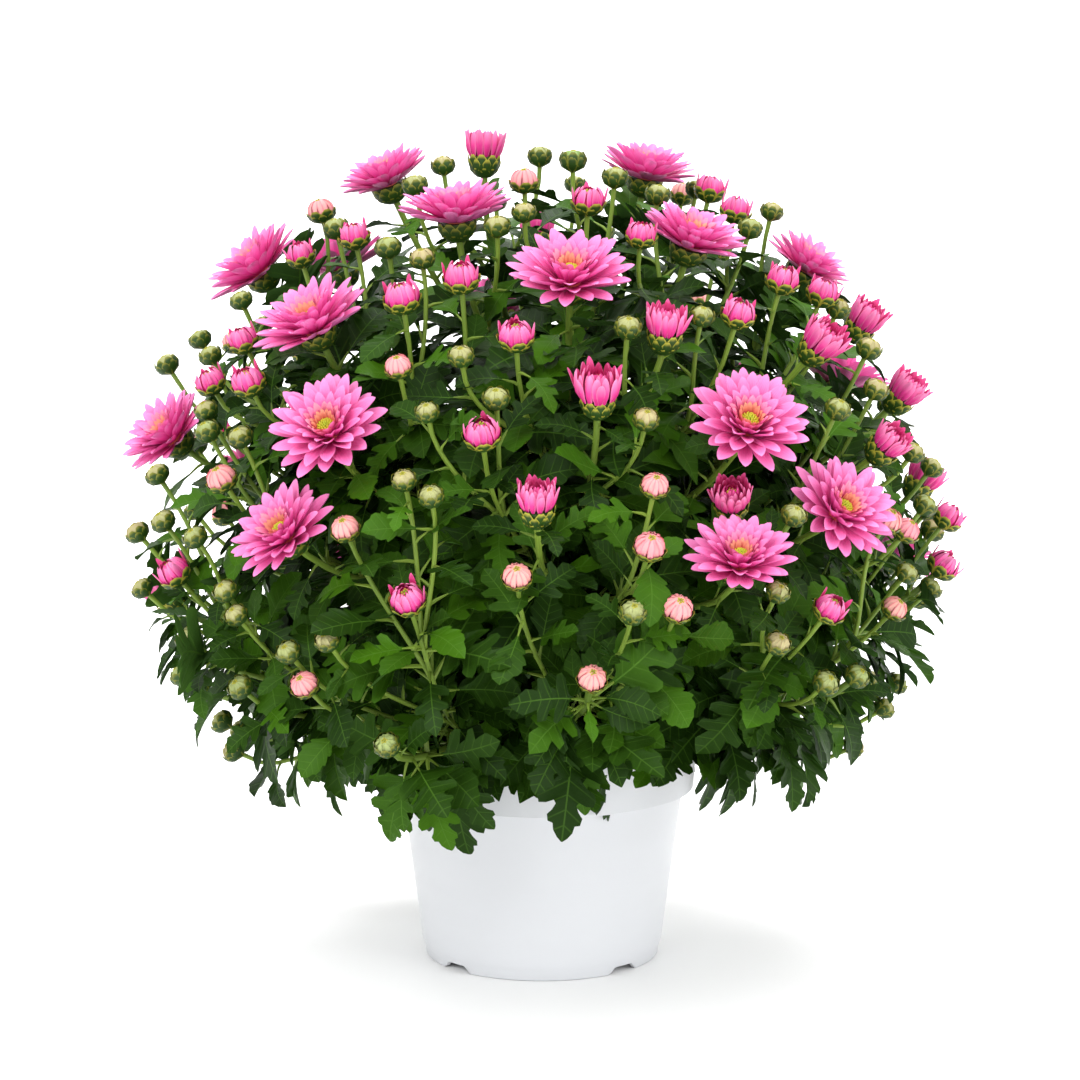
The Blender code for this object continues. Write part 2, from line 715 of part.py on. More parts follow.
def make_stalk(name, branch, collection):
    """Round rod along a branch, sunk into its head, as a closed mesh."""
    head = branch.head
    points = curve_points(branch.controls, STALK_POINTS[head.kind])
    points[-1] += head.axis * (0.4 * head.radius if head.kind == "bud" else -STALK_SINK)
    curve = bpy.data.curves.new(name, "CURVE")
    curve.dimensions = "3D"
    curve.fill_mode = "FULL"
    curve.bevel_depth = BUD_STALK_RADIUS if head.kind == "bud" else STALK_RADIUS
    curve.bevel_resolution = 0
    curve.use_fill_caps = True
    spline = curve.splines.new("POLY")
    spline.points.add(len(points) - 1)
    for knot, place in zip(spline.points, points):
        knot.co = (*place, 1.0)
    item = add_object(name, curve, collection)
    evaluated = item.evaluated_get(bpy.context.evaluated_depsgraph_get())
    work = bmesh.new()
    work.from_mesh(bpy.data.meshes.new_from_object(evaluated))
    bmesh.ops.remove_doubles(work, verts=work.verts, dist=0.00001)
    bpy.data.objects.remove(item)
    add_object(name, mesh_of(name, work), collection)


def make_bud(name, head, collection):
    work = bmesh.new()
    bmesh.ops.create_uvsphere(work, u_segments=6, v_segments=3, radius=head.radius,
                              matrix=frame_at(head.base + head.axis * head.radius * 0.95, head.axis))
    add_object(name, mesh_of(name, work), collection)


def make_calyx(name, head, collection):
    """Green cup under a bloom, with a flat top for the bloom to sit on."""
    top, depth = CALYX_SIZES[head.kind]
    work = bmesh.new()
    bmesh.ops.create_cone(work, cap_ends=True, segments=7, radius1=0.45 * top, radius2=top, depth=depth,
                          matrix=frame_at(head.base - head.axis * 0.5 * depth, head.axis))
    add_object(name, mesh_of(name, work), collection)


def make_leaf(name, leaf, collection):
    """Thin lobed blade on a three-sided petiole, each face hung from the points of its rib."""
    work = bmesh.new()
    across = np.cross(leaf.heading, leaf.normal)
    rise = 0.5 * LEAF_THICKNESS
    thick = PETIOLE_RADIUS

    def vertex(place):
        return work.verts.new(place)
    petiole_end = blade_point(leaf, 0.0, 0.0, 0.0)
    rings = []
    for place in (leaf.root, petiole_end):
        offsets = (across * thick + leaf.normal * 0.5 * thick, -across * thick + leaf.normal * 0.5 * thick,
                   -leaf.normal * thick)
        rings.append([vertex(place + offset) for offset in offsets])
    work.faces.new(rings[0])
    for index in range(3):
        after = (index + 1) % 3
        work.faces.new((rings[0][index], rings[0][after], rings[1][after], rings[1][index]))
    upper = [vertex(blade_point(leaf, share, 0.0, rise)) for share in RIB_SHARES]
    lower = [vertex(blade_point(leaf, share, 0.0, -rise)) for share in RIB_SHARES]
    tip = vertex(blade_point(leaf, 1.0, 0.0, 0.0))
    keel = rings[1][2]
    work.faces.new((rings[1][0], upper[0], rings[1][1]))
    for side, start in ((1.0, rings[1][0]), (-1.0, rings[1][1])):
        outline = [(start, 0)]
        outline += [(vertex(blade_point(leaf, share, side * width, 0.0)), rib)
                    for share, width, rib in BROAD_LEAF]
        outline.append((tip, len(RIB_SHARES) - 1))
        work.faces.new((start, outline[1][0], keel))
        work.faces.new((keel, outline[1][0], lower[0]))
        work.faces.new((start, outline[1][0], upper[0]))
        for (point, rib), (after, after_rib) in zip(outline[1:], outline[2:]):
            for ribs in (upper, lower):
                work.faces.new((point, ribs[rib], after))
                if after_rib != rib:
                    work.faces.new((after, ribs[rib], ribs[after_rib]))
    add_object(name, mesh_of(name, work), collection)


def ring(work, count, radius, height, start=0.0):
    """Points round a circle, the first one turned by a share of the step between them."""
    turns = [2.0 * math.pi * (index + start) / count for index in range(count)]
    return [work.verts.new((radius * math.cos(turn), radius * math.sin(turn), height)) for turn in turns]


def star(work, petals, tip, notch, start):
    """Ring of petal tips with the notches between them, each a radius and a height."""
    tips = ring(work, petals, *tip, start)
    notches = ring(work, petals, *notch, start + 0.5)
    return [point for pair in zip(tips, notches) for point in pair]


def join_star(work, inner, outer, first):
    """Faces from a ring to a star with twice its points; outer[first] lies beside inner[0]."""
    count = len(inner)
    for index, point in enumerate(inner):
        beside = 2 * index + first
        before, level, after = (outer[(beside + shift) % (2 * count)] for shift in (-1, 0, 1))
        work.faces.new((point, before, level))
        work.faces.new((point, level, after))
        work.faces.new((point, after, inner[(index + 1) % count]))


def close_ring(work, points, height):
    """Shallow cone over a ring."""
    top = work.verts.new((0.0, 0.0, height))
    for index, point in enumerate(points):
        work.faces.new((point, points[(index + 1) % len(points)], top))


def join_offset(work, lower, upper):
    """Faces between two rings of like count, the upper one half a step on."""
    count = len(lower)
    for index in range(count):
        work.faces.new((lower[index], lower[(index + 1) % count], upper[index]))
        work.faces.new((lower[(index + 1) % count], upper[(index + 1) % count], upper[index]))


def make_bloom(name, head, turn, collection):
    """Three layers of petals, each set half a step round from the one under it."""
    size = head.radius
    work = bmesh.new()
    base = ring(work, BLOOM_PETALS, 0.24 * size, 0.0)
    work.faces.new(base)
    outer = star(work, BLOOM_PETALS, (size, 0.27 * size), (0.72 * size, 0.22 * size), 0.0)
    join_star(work, base, outer, 0)
    crease = ring(work, BLOOM_PETALS, 0.42 * size, 0.16 * size)
    join_star(work, crease, outer, 0)
    middle = star(work, BLOOM_PETALS, (0.78 * size, 0.43 * size), (0.52 * size, 0.36 * size), 0.5)
    join_star(work, crease, middle, -1)
    upper_crease = ring(work, BLOOM_PETALS, 0.29 * size, 0.27 * size, 0.5)
    join_star(work, upper_crease, middle, 0)
    inner = ring(work, BLOOM_PETALS, 0.42 * size, 0.50 * size, 1.0)
    join_offset(work, upper_crease, inner)
    close_ring(work, inner, 0.36 * size)
    bmesh.ops.transform(work, matrix=frame_at(head.base + head.axis * GAP, head.axis, turn), verts=work.verts)
    bloom = add_object(name, mesh_of(name, work), collection)
    bloom.data.materials.append(new_material(name + "_petals", (0.88, 0.30, 0.55), 0.55))


def make_half_bloom(name, head, turn, collection):
    """Crown of upright petals round an inner ring that is still folded together."""
    size = head.radius
    work = bmesh.new()
    base = ring(work, HALF_BLOOM_PETALS, 0.72 * size, 0.0)
    work.faces.new(base)
    outer = star(work, HALF_BLOOM_PETALS, (1.08 * size, 1.45 * size), (0.98 * size, 1.05 * size), 0.0)
    join_star(work, base, outer, 0)
    crease = ring(work, HALF_BLOOM_PETALS, 0.72 * size, 0.95 * size)
    join_star(work, crease, outer, 0)
    inner = ring(work, HALF_BLOOM_PETALS, 0.62 * size, 1.35 * size, 0.5)
    join_offset(work, crease, inner)
    close_ring(work, inner, 1.15 * size)
    bmesh.ops.transform(work, matrix=frame_at(head.base + head.axis * GAP, head.axis, turn), verts=work.verts)
    bloom = add_object(name, mesh_of(name, work), collection)
    bloom.data.materials.append(new_material(name + "_petals", (0.80, 0.16, 0.42), 0.55))


def ring_round(work, place, frame, radius, start):
    """Ring of points round a stem, one for each leaf of a whorl."""
    points = []
    for index in range(WHORL_LEAVES):
        turn = 2.0 * math.pi * (index + start) / WHORL_LEAVES
        out = math.cos(turn) * frame[0] + math.sin(turn) * frame[1]
        points.append(work.verts.new(place + radius * out))
    return points


def whorl_rim(work, whorl):
    """The outline of a whorl: for each leaf its two lobes with its tip between them, then a notch."""
    rim = []
    for leaf, after in zip(whorl.leaves, whorl.leaves[1:] + whorl.leaves[:1]):
        share, width = LOBE
        for side in (width, 0.0, -width):
            rim.append(work.verts.new(blade_point(leaf, share if side else 1.0, side, 0.0)))
        parting = unit(leaf.heading + after.heading) * PETIOLE_LENGTH * NOTCH * 0.5 * (leaf.size + after.size)
        rim.append(work.verts.new(leaf.root + parting))
    return rim


def join_whorl(work, inner, rim):
    """Faces from a ring on the stem to the outline of a whorl."""
    for index, point in enumerate(inner):
        before, left, tip, right, notch = (rim[(4 * index + shift) % len(rim)] for shift in (-1, 0, 1, 2, 3))
        for a, b in ((before, left), (left, tip), (tip, right), (right, notch)):
            work.faces.new((point, a, b))
        work.faces.new((point, notch, inner[(index + 1) % len(inner)]))


def make_leafy_stem(name, spray, collection):
    """Stem from the bottom of its hole to its head, its skin drawn out into whorls of leaves."""
    work = bmesh.new()
    curve = spray.branches[0].controls
    head = spray.branches[0].head
    half = 0.5 * WHORL_DEPTH / curve_length(curve)
    foot = stem_foot(spray.stem.direction) - (0.0, 0.0, HOLE_DEPTH - GAP)
    upright = level_frame(spray.stem.direction, np.array((0.0, 0.0, 1.0)))
    lower = ring_round(work, foot, upright, STEM_RADIUS, 0.0)
    work.faces.new(lower)
    upper = ring_round(work, curve[0], upright, STEM_RADIUS, 0.5)
    join_offset(work, lower, upper)
    for whorl in spray.whorls:
        radius = STEM_RADIUS + (STALK_RADIUS - STEM_RADIUS) * whorl.share
        rings = []
        for share in (whorl.share - half, whorl.share + half):
            place, way = bezier(curve, share)
            rings.append(ring_round(work, place, level_frame(spray.stem.direction, way), radius, whorl.start))
        join_offset(work, upper, rings[0])
        rim = whorl_rim(work, whorl)
        join_whorl(work, rings[0], rim)
        join_whorl(work, rings[1], rim)
        upper = rings[1]
    frame = level_frame(spray.stem.direction, head.axis)
    sink = 0.4 * head.radius if head.kind == "bud" else -STALK_SINK
    last = ring_round(work, head.base + sink * head.axis, frame, STALK_RADIUS, spray.whorls[-1].start + 0.5)
    join_offset(work, upper, last)
    work.faces.new(last)
    return add_object(name, mesh_of(name, work), collection)


def fuse(item, pieces):
    """Joins a collection of pieces to an object for good, and removes them."""
    boolean = item.modifiers.new("Fuse", "BOOLEAN")
    boolean.operation = "UNION"
    boolean.operand_type = "COLLECTION"
    boolean.collection = pieces
    boolean.solver = "EXACT"
    evaluated = item.evaluated_get(bpy.context.evaluated_depsgraph_get())
    mesh = bpy.data.meshes.new_from_object(evaluated)
    item.modifiers.remove(boolean)
    item.data = mesh
    for piece in list(pieces.objects):
        bpy.data.objects.remove(piece)
    bpy.data.collections.remove(pieces)


def make_spray(number, spray, collection):
    """A stem with its stalks, cups, buds and leaves, fused into one body."""
    name = f"spray_{number:02d}"
    stem = make_leafy_stem(name, spray, collection)
    pieces = new_collection(name + "_pieces")
    for index, branch in enumerate(spray.branches):
        if index > 0:
            make_stalk(f"{name}_stalk_{index}", branch, pieces)
        if branch.head.kind == "bud":
            make_bud(f"{name}_bud_{index}", branch.head, pieces)
        else:
            make_calyx(f"{name}_calyx_{index}", branch.head, pieces)
    for index, leaf in enumerate(spray.leaves):
        make_leaf(f"{name}_leaf_{index}", leaf, pieces)
    fuse(stem, pieces)
    stem.data.materials.clear()
    stem.data.materials.append(new_material(name + "_green", (0.09, 0.22, 0.05), 0.6))


def make_flowers(sprays, collection):
    """A numbered node for each open bloom and for each half-open one."""
    heads = [branch.head for spray in sprays for branch in spray.branches]
    for kind, make in (("bloom", make_bloom), ("half_bloom", make_half_bloom)):
        for index, head in enumerate(head for head in heads if head.kind == kind):
            make(f"{kind}_{index + 1:02d}", head, FLOWER_TURN * index, collection)


def main():
    clear_scene()
    collection = new_collection(OBJECT_NAME)
    sprays = plan_plant()
    make_pot(collection)
    make_soil(sprays, collection)
    for index, spray in enumerate(sprays):
        make_spray(index + 1, spray, collection)
    make_flowers(sprays, collection)


main()
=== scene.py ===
"""Looks of the pot chrysanthemum: fine stems, leaves, buds, blooms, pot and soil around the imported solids.

Metres, +Z up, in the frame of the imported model. The plan of the plant is the same as in its source.
"""

import json
import math
from collections import namedtuple

import bmesh
import bpy
import numpy as np
from mathutils import Matrix, Vector

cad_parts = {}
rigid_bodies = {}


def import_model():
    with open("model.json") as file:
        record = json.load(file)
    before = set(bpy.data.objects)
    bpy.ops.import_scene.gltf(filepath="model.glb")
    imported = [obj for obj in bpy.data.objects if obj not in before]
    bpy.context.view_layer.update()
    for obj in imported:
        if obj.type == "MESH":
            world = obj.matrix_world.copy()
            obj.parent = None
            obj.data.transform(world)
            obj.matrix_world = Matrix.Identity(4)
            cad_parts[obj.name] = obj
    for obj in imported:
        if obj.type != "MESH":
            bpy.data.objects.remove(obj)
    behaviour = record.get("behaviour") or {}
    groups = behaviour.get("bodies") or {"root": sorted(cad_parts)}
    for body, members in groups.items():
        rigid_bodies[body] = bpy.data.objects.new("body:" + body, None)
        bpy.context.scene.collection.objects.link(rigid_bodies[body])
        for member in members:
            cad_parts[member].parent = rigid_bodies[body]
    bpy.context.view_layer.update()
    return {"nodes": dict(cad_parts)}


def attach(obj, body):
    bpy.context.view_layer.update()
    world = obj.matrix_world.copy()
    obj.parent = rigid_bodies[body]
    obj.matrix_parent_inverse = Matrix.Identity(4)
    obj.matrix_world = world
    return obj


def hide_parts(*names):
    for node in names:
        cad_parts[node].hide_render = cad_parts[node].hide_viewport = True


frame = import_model()

GAP = 0.0003  # left between pieces that touch
FULL_TURN = 2.0 * math.pi
UP = np.array((0.0, 0.0, 1.0))
UPRIGHT = 0.99  # a way this steep is square to no level way in particular
ANY_TURN = (0.0, 6.3)

# Pot, measured from the surface that it stands on
POT_HEIGHT = 0.115
LIP_RADIUS = 0.0830
LIP_DEPTH = 0.0055
LIP_DRAFT = 0.0005
COLLAR_TOP_RADIUS = 0.0796
COLLAR_FOOT_RADIUS = 0.0782
COLLAR_FOOT_HEIGHT = 0.088
BODY_TOP_RADIUS = 0.0726
BODY_FOOT_RADIUS = 0.0622
FOOT_ROUNDING = 0.005
FOOT_RADIUS = 0.0602
FOOT_HEIGHT = 0.0038
FOOT_WIDTH = 0.0026
WALL = 0.0017
EDGE_ROUNDING = 0.0006
EDGE_STEPS = 4
LIP_STEPS = 6
# The curve from the body to the foot ring: radii, and heights over it as shares of its rounding
FOOT_CURVE = ((BODY_FOOT_RADIUS + 0.0006, 2.2), (BODY_FOOT_RADIUS, 1.0), (FOOT_RADIUS + 0.0011, 0.35))

# Notches in the foot ring, and drain holes in the floor
NOTCH_COUNT = 4
NOTCH_TURN = math.radians(43.5)
NOTCH_WIDTH = 0.018
NOTCH_TOP_WIDTH = 0.012
DRAIN_COUNT = 4
DRAIN_RADIUS = 0.004
DRAIN_CIRCLE = 0.036
DRAIN_STEPS = 24

# Soil, and how deep the stems stand in it
SOIL_TOP = 0.105
HOLE_DEPTH = 0.012

# The line of sight that the front heads were placed along, and the frame they were placed in
EYE_DISTANCE = 1.656
EYE_RISE = math.radians(8.62)
EYE_TARGET = np.array((-0.0011, 0.0, 0.2152))
FOCAL_PIXELS = 3239.0
FRAME_MIDDLE = 540.0

# The dome that the heads stand on, and the point under the soil that the stems fan out from
DOME_CENTRE = np.array((0.0, -0.003, 0.222))
DOME_RADII = np.array((0.199, 0.199, 0.188))
FOCUS = np.array((0.0, 0.0, 0.078))

# How far a head's base is set back from its place on the dome, as a share of its radius
SET_BACK = {"bloom": 0.35, "half_bloom": 0.4, "bud": 1.0}
HEAD_LIFT = 0.45  # how far heads that face out of the plant are raised to the light

# Stems: how many in each ring, their lean from the vertical and the first one's turn in degrees,
# the shares of a stem's length that bear whorls of leaves, and how many leaves stand alone
STEM_RINGS = (
    (1, 0, 0, (0.30, 0.48, 0.66, 0.84), 1),
    (7, 35, 12, (0.30, 0.48, 0.66, 0.84), 1),
    (11, 68, 5, (0.34, 0.52, 0.70, 0.88), 1),
)
# Radii of a stem, of a flower's stalk and of a bud's
STEM_RADIUS = 0.0025
STALK_RADIUS = 0.0017
BUD_STALK_RADIUS = 0.0012
STEM_NECK = 0.0015
STEM_RISE = 0.036
WIDEST_FOOT = 0.045
STALK_POINTS = {"bloom": 4, "half_bloom": 4, "bud": 3}
FORK_ANGLE = math.radians(24.0)
TEST_POINTS = 9
LEADER_BONUS = {"bloom": 0.10, "half_bloom": 0.04, "bud": 0.0}
# How far curves are drawn out at their foot and at their head, by their length
STEM_BENDS = (0.08, 0.25)
STALK_BENDS = (0.3, 0.35)
FORK_BENDS = (0.3, 0.4)
FORK_STEPS = 40

# Open blooms seen from the front: pixel across and down, lean in the picture from upright,
# turn away from the eye (both in degrees) and radius in metres
FRONT_BLOOMS = (
    (383, 170, -22, 72, 0.0240), (455, 203, -5, 74, 0.0270), (250, 260, -40, 70, 0.0270),
    (308, 314, -25, 63, 0.0285), (325, 424, -20, 37, 0.0280), (163, 428, -45, 62, 0.0260),
    (278, 527, -40, 50, 0.0260), (570, 267, 0, 51, 0.0290), (648, 162, 10, 74, 0.0250),
    (695, 230, 18, 67, 0.0260), (812, 258, 33, 70, 0.0220), (750, 418, 15, 38, 0.0290),
    (846, 505, 40, 42, 0.0275), (741, 552, 5, 50, 0.0255),
)
# Half-open blooms seen from the front, in the same terms, and how far one stands behind the dome
FRONT_HALF_BLOOMS = (
    (485, 148, 3, 85, 0.0115), (598, 388, 0, 60, 0.0125), (731, 497, -5, 40, 0.0105, 0.022),
    (823, 340, 40, 60, 0.0120), (866, 318, 35, 65, 0.0110), (906, 390, 40, 68, 0.0110),
    (890, 442, 45, 60, 0.0100), (537, 499, 0, 60, 0.0105), (666, 324, 5, 65, 0.0110),
)
# Buds seen from the front: pixel across and down, radius, tint from green (0) through peach to rose (1),
# and how far one stands behind the dome
FRONT_BUDS = (
    (402, 300, 0.0072, 1.0), (461, 280, 0.0070, 1.0), (516, 338, 0.0068, 1.0),
    (482, 436, 0.0070, 1.0), (588, 203, 0.0066, 1.0), (738, 316, 0.0066, 1.0),
    (710, 191, 0.0064, 0.8), (650, 546, 0.0070, 0.65), (408, 601, 0.0068, 0.75),
    (517, 576, 0.0064, 0.5), (592, 678, 0.0064, 0.5), (829, 610, 0.0064, 0.9),
    (221, 478, 0.0070, 0.55), (244, 342, 0.0062, 0.9), (942, 567, 0.0066, 0.9),
    (907, 530, 0.0062, 0.7), (895, 608, 0.0060, 0.45), (175, 574, 0.0068, 0.95),
    (167, 364, 0.0056, 0.1, 0.035), (188, 639, 0.0058, 0.1), (857, 676, 0.0056, 0.05),
    (387, 745, 0.0056, 0.05), (573, 160, 0.0060, 0.0),
)
# Heads behind, which the picture doesn't show: how many, their radii and their distance apart
BACK_BLOOMS = (9, 0.0275, 0.076)
BACK_HALF_BLOOMS = (5, 0.0112, 0.054)
BACK_BUDS = (9, 0.0064, 0.044)
BACK_LOWEST = math.radians(62.0)  # from the vertical, seen from the focus
BACK_WIDTH = math.radians(98.0)  # to each side of straight back
BACK_TRIES = 200
BACK_SEED = 11

# Leaves: blade length and width, and the petiole under it
LEAF_LENGTH = 0.046
LEAF_WIDTH = 0.033
LEAF_FOLD = 0.22
BEND_SHORTENING = 0.3
PETIOLE_LENGTH = 0.013
WHORL_LEAVES = 5
WHORL_BEND = 0.25
WHORL_SIZES = (1.2, 1.05, 0.9, 0.75, 0.6, 0.45, 0.3, 0.15)
WHORL_TURNS = (0.0, 0.15, -0.15, 0.3, -0.3)  # shares of the step between leaves
HIGHEST_RISE = math.radians(42.0)  # of the uppermost whorl's leaves; the lowest ones lie level
LEAF_SPACING = 0.024
LEAF_TRIES = 160
LEAF_SEED = 5
# Leaves that stand alone: where they grow along a stalk, what their headings and normals are made of,
# their sizes and bends, and how much smaller they get past a share of the stalk
LONE_PLACES = (0.3, 0.93)
LONE_HEADING = (0.55, 0.85, -0.22)  # of the stalk's way, of a way square to it, and of up
LONE_LIGHT = (0.7, 0.6, 0.25)  # of out of the plant, of up, and of chance
LONE_SIZES = (0.85, 1.12)
LONE_BENDS = (0.1, 0.4)
LONE_SHRINK = (0.6, 0.3)
# Points of half a blade that gaps are measured from: shares of the length and of the width
RIB_SHARES = (0.36, 0.70, 1.0)
LOBE_SHARES = ((0.20, 0.38), (0.38, 0.19), (0.60, 0.50), (0.74, 0.24))

STALK_SINK = 0.003
FLOWER_TURN = 0.7

# How near a leaf may come to another stem's share of the plant, to heads, stalks and the pot
SHARE_MARGIN = 0.0012
HEAD_MARGIN = 0.0115
STALK_MARGIN = 0.0045
OWN_STALK_MARGIN = 0.0025
PETIOLE_TESTS = 2
BLOOM_MARGIN = 0.003
POT_MARGIN = 0.006
# Spaces that leaves keep out of: depth from a head's base, how they widen, and how far they start behind
BLOOM_SPACE = (0.024, 0.15, 0.006)
FACE_SPACE = (0.05, 0.15, 0.004)
SIGHT_SPACE = (0.06, 0.0, 0.0)
SHOWN_SHARE = 0.9  # of a head's radius, kept clear towards the eye
LEAF_REACH = (1.065, 0.93)  # shares of the dome's radius that leaves keep within, at its widest and top

# What only this finer model holds
EXTRA_BUDS = {
    "rose": (
        (641, 237), (249, 384), (211, 384), (346, 194), (822, 295), (501, 280), (735, 212), (725, 267),
        (355, 238), (782, 282), (301, 257), (947, 519),
    ),
    "peach": (
        (678, 608), (304, 684), (398, 366), (345, 528), (562, 466), (655, 485), (680, 408), (888, 520),
        (321, 210), (524, 180),
    ),
    "green": (
        (443, 165), (373, 191), (415, 185), (496, 179), (540, 156), (615, 177), (658, 194), (750, 228),
        (524, 212), (497, 226), (336, 228), (388, 247), (428, 230), (422, 258), (330, 271), (241, 300),
        (200, 339), (172, 390), (210, 355), (275, 353), (343, 327), (206, 410), (207, 431), (240, 437),
        (157, 474), (163, 521), (195, 537), (321, 489), (461, 356), (496, 398), (427, 412), (404, 480),
        (431, 496), (628, 327), (702, 316), (756, 351), (646, 419), (838, 308), (869, 348), (876, 389),
        (838, 409), (794, 515), (932, 467), (913, 452), (925, 505), (225, 591), (240, 687), (236, 615),
        (327, 640), (288, 652), (633, 612), (907, 573), (931, 588), (778, 643), (778, 592), (831, 588),
        (826, 683), (137, 532), (142, 588), (772, 211),
    ),
}
TINTS = {"green": 0.05, "peach": 0.5, "rose": 0.95}
TINT_SPREADS = {"green": 0.12, "peach": 0.12, "rose": 0.05}
EXTRA_RADII = {"green": 0.0054, "peach": 0.0064, "rose": 0.0064}
EXTRA_SEED = 3
EXTRA_SIZES = (0.92, 1.08)
FRONT_MARGIN = 0.0
BACK_EXTRA = 100
BACK_REACH = math.radians(82.0)
BACK_KINDS = ("green", "rose", "green", "peach", "green")
BACK_MARGIN = 0.006
FORK_SHARES = (0.12, 0.2, 0.28, 0.36, 0.44, 0.52, 0.6, 0.68, 0.76)
FORK_STRAIGHT = 0.96
FORK_REACH = 0.068
FORK_PULL = 3.0

# Fine leaves: half outlines from foot to tip by shares of length and width, for leaves of three sizes
BROAD_OUTLINE = (
    (0.0, 0.03), (0.08, 0.05), (0.14, 0.12), (0.18, 0.24), (0.20, 0.33), (0.24, 0.35), (0.29, 0.43),
    (0.35, 0.48), (0.42, 0.49), (0.455, 0.44), (0.43, 0.33), (0.40, 0.20), (0.415, 0.145), (0.47, 0.19),
    (0.53, 0.27), (0.57, 0.36), (0.64, 0.40), (0.70, 0.37), (0.695, 0.27), (0.66, 0.17), (0.69, 0.14),
    (0.75, 0.18), (0.80, 0.24), (0.86, 0.22), (0.87, 0.15), (0.93, 0.13), (0.98, 0.07), (1.0, 0.012),
)
MIDDLE_OUTLINE = (
    (0.0, 0.03), (0.12, 0.05), (0.21, 0.18), (0.28, 0.34), (0.37, 0.43), (0.45, 0.39), (0.41, 0.15),
    (0.51, 0.20), (0.58, 0.36), (0.69, 0.37), (0.68, 0.16), (0.76, 0.19), (0.86, 0.22), (0.94, 0.13),
    (1.0, 0.012),
)
TOOTHED_OUTLINE = (
    (0.0, 0.03), (0.12, 0.05), (0.24, 0.11), (0.34, 0.22), (0.42, 0.32), (0.47, 0.33), (0.475, 0.27),
    (0.56, 0.36), (0.64, 0.41), (0.66, 0.34), (0.75, 0.36), (0.83, 0.31), (0.85, 0.24), (0.94, 0.17),
    (1.0, 0.012),
)
SMALL_OUTLINE = (
    (0.0, 0.04), (0.20, 0.10), (0.38, 0.26), (0.48, 0.27), (0.52, 0.20), (0.68, 0.28), (0.80, 0.23),
    (0.88, 0.15), (1.0, 0.012),
)
LEAF_KINDS = (
    (0.78, (BROAD_OUTLINE,)),
    (0.40, (MIDDLE_OUTLINE, TOOTHED_OUTLINE)),
    (0.0, (SMALL_OUTLINE,)),
)
INNER_KINDS = ((0.0, (SMALL_OUTLINE,)),)
VEIN_SLANT = 0.55  # how far forward the veins slant
RIB_STEP = 0.004
VEIN_COUNT = 7.0
LEAF_WAVE = 0.07
LEAF_WAVES = 10.0
LEAF_WIDTHS = (0.9, 1.2)
LEAF_FOLDS = (0.1, 0.6)
FOLD_EASE = 1.5
LEAF_TWISTS = (-0.45, 0.45)
LEAF_SWAYS = (-0.22, 0.22)
RIB_DEPTH = 0.0007
RIB_WIDTH = 0.03
FINE_LEAF_THICKNESS = 0.00045
FINE_PETIOLE_RADIUS = 0.0010
PETIOLE_RADII = (1.15, 1.0, 0.5)
PETIOLE_SIDES = 4
PETIOLE_ARCH = 0.0006
PETIOLE_OVERLAP = 0.002
PETIOLE_GROWTH = (0.4, 0.6)  # radius of the smallest leaf's petiole, and what a full leaf adds
PETIOLE_TONES = (0.3, 0.7)
STEM_TONES = (0.0, 0.5)
STALK_TONES = (0.4, 1.0)
STALK_TAPER = (1.05, 0.9)
STALK_FLARE = 1.25  # where it enters its head
# How planned leaves vary: size as a whole, and by chance heading, normal, size and bend
PLANNED_LEAF_SCALE = 0.92
HEADING_CHANCE = 0.18
NORMAL_CHANCE = 0.2
SIZE_CHANCE = (0.88, 1.1)
PLANNED_BENDS = (0.1, 0.5)
STALK_BENDINGS = (0.12, 0.5)
FINE_LEAF_SPACING = 0.0091
HEAD_CLEARANCE = 0.0075
GOLDEN_ANGLE = math.radians(137.5)
FINE_REACH = (1.085, 0.96)  # like LEAF_REACH
# Leaves along a stem, along a stalk and deep in the plant: shares of the length that they grow between,
# sizes at its foot and its head, spacing and reach
STEM_GROWTH = ((0.22, 0.95), (1.0, 0.6), 0.0088, FINE_REACH)
STALK_GROWTH = ((0.1, 0.95), (0.92, 0.50), 0.0088, FINE_REACH)
INNER_GROWTH = ((0.02, 0.8), (1.0, 0.8), 0.0105, (0.86, 0.86))
SPACING_CHANCE = (0.8, 1.2)
LEAF_LIFTS = (0.2, 1.1)  # how far leaves lean along their stalk
LEAF_DROOPS = (0.1, 0.35)  # how far they sink, at the top of the plant and at its foot
DROOP_HEIGHTS = (0.20, 0.11)
LEAF_LIGHT = (1.2, 0.3, 0.25)  # like LONE_LIGHT
LEAF_WAY = 0.5  # how much of the stalk's way a normal has
LEAF_SHRINKS = (1.0, 0.8, 0.62)
SQUARE_TO = (0.31, 0.17, 0.94)
SMALLEST_LEAF = 0.16
SMALLEST_WHORL_LEAF = 0.4
FINE_STALK_POINTS = 12
STALK_SIDES = 7
FINE_SEED = 100
FLOWER_SEED = 500

# Rings of straps from the outside in: how many, the radius and height that they start at, length and
# width as shares of the head's radius, the slopes in degrees that they start and end with, how much
# the slope bulges between, cup, tone, and rows and columns of points
BLOOM_RINGS = (
    (15, 0.18, 0.03, 0.90, 0.29, 14.0, 17.0, 5.0, 0.36, 0.00, 7, 5),
    (15, 0.17, 0.07, 0.87, 0.27, 28.0, 24.0, 7.0, 0.42, 0.05, 7, 5),
    (13, 0.16, 0.10, 0.77, 0.23, 43.0, 36.0, 7.0, 0.50, 0.13, 7, 5),
    (13, 0.15, 0.13, 0.61, 0.21, 57.0, 48.0, 6.0, 0.60, 0.30, 6, 3),
    (14, 0.14, 0.15, 0.48, 0.16, 67.0, 58.0, 8.0, 0.60, 0.60, 6, 3),
    (14, 0.13, 0.17, 0.35, 0.12, 76.0, 68.0, 8.0, 0.60, 0.97, 5, 3),
)
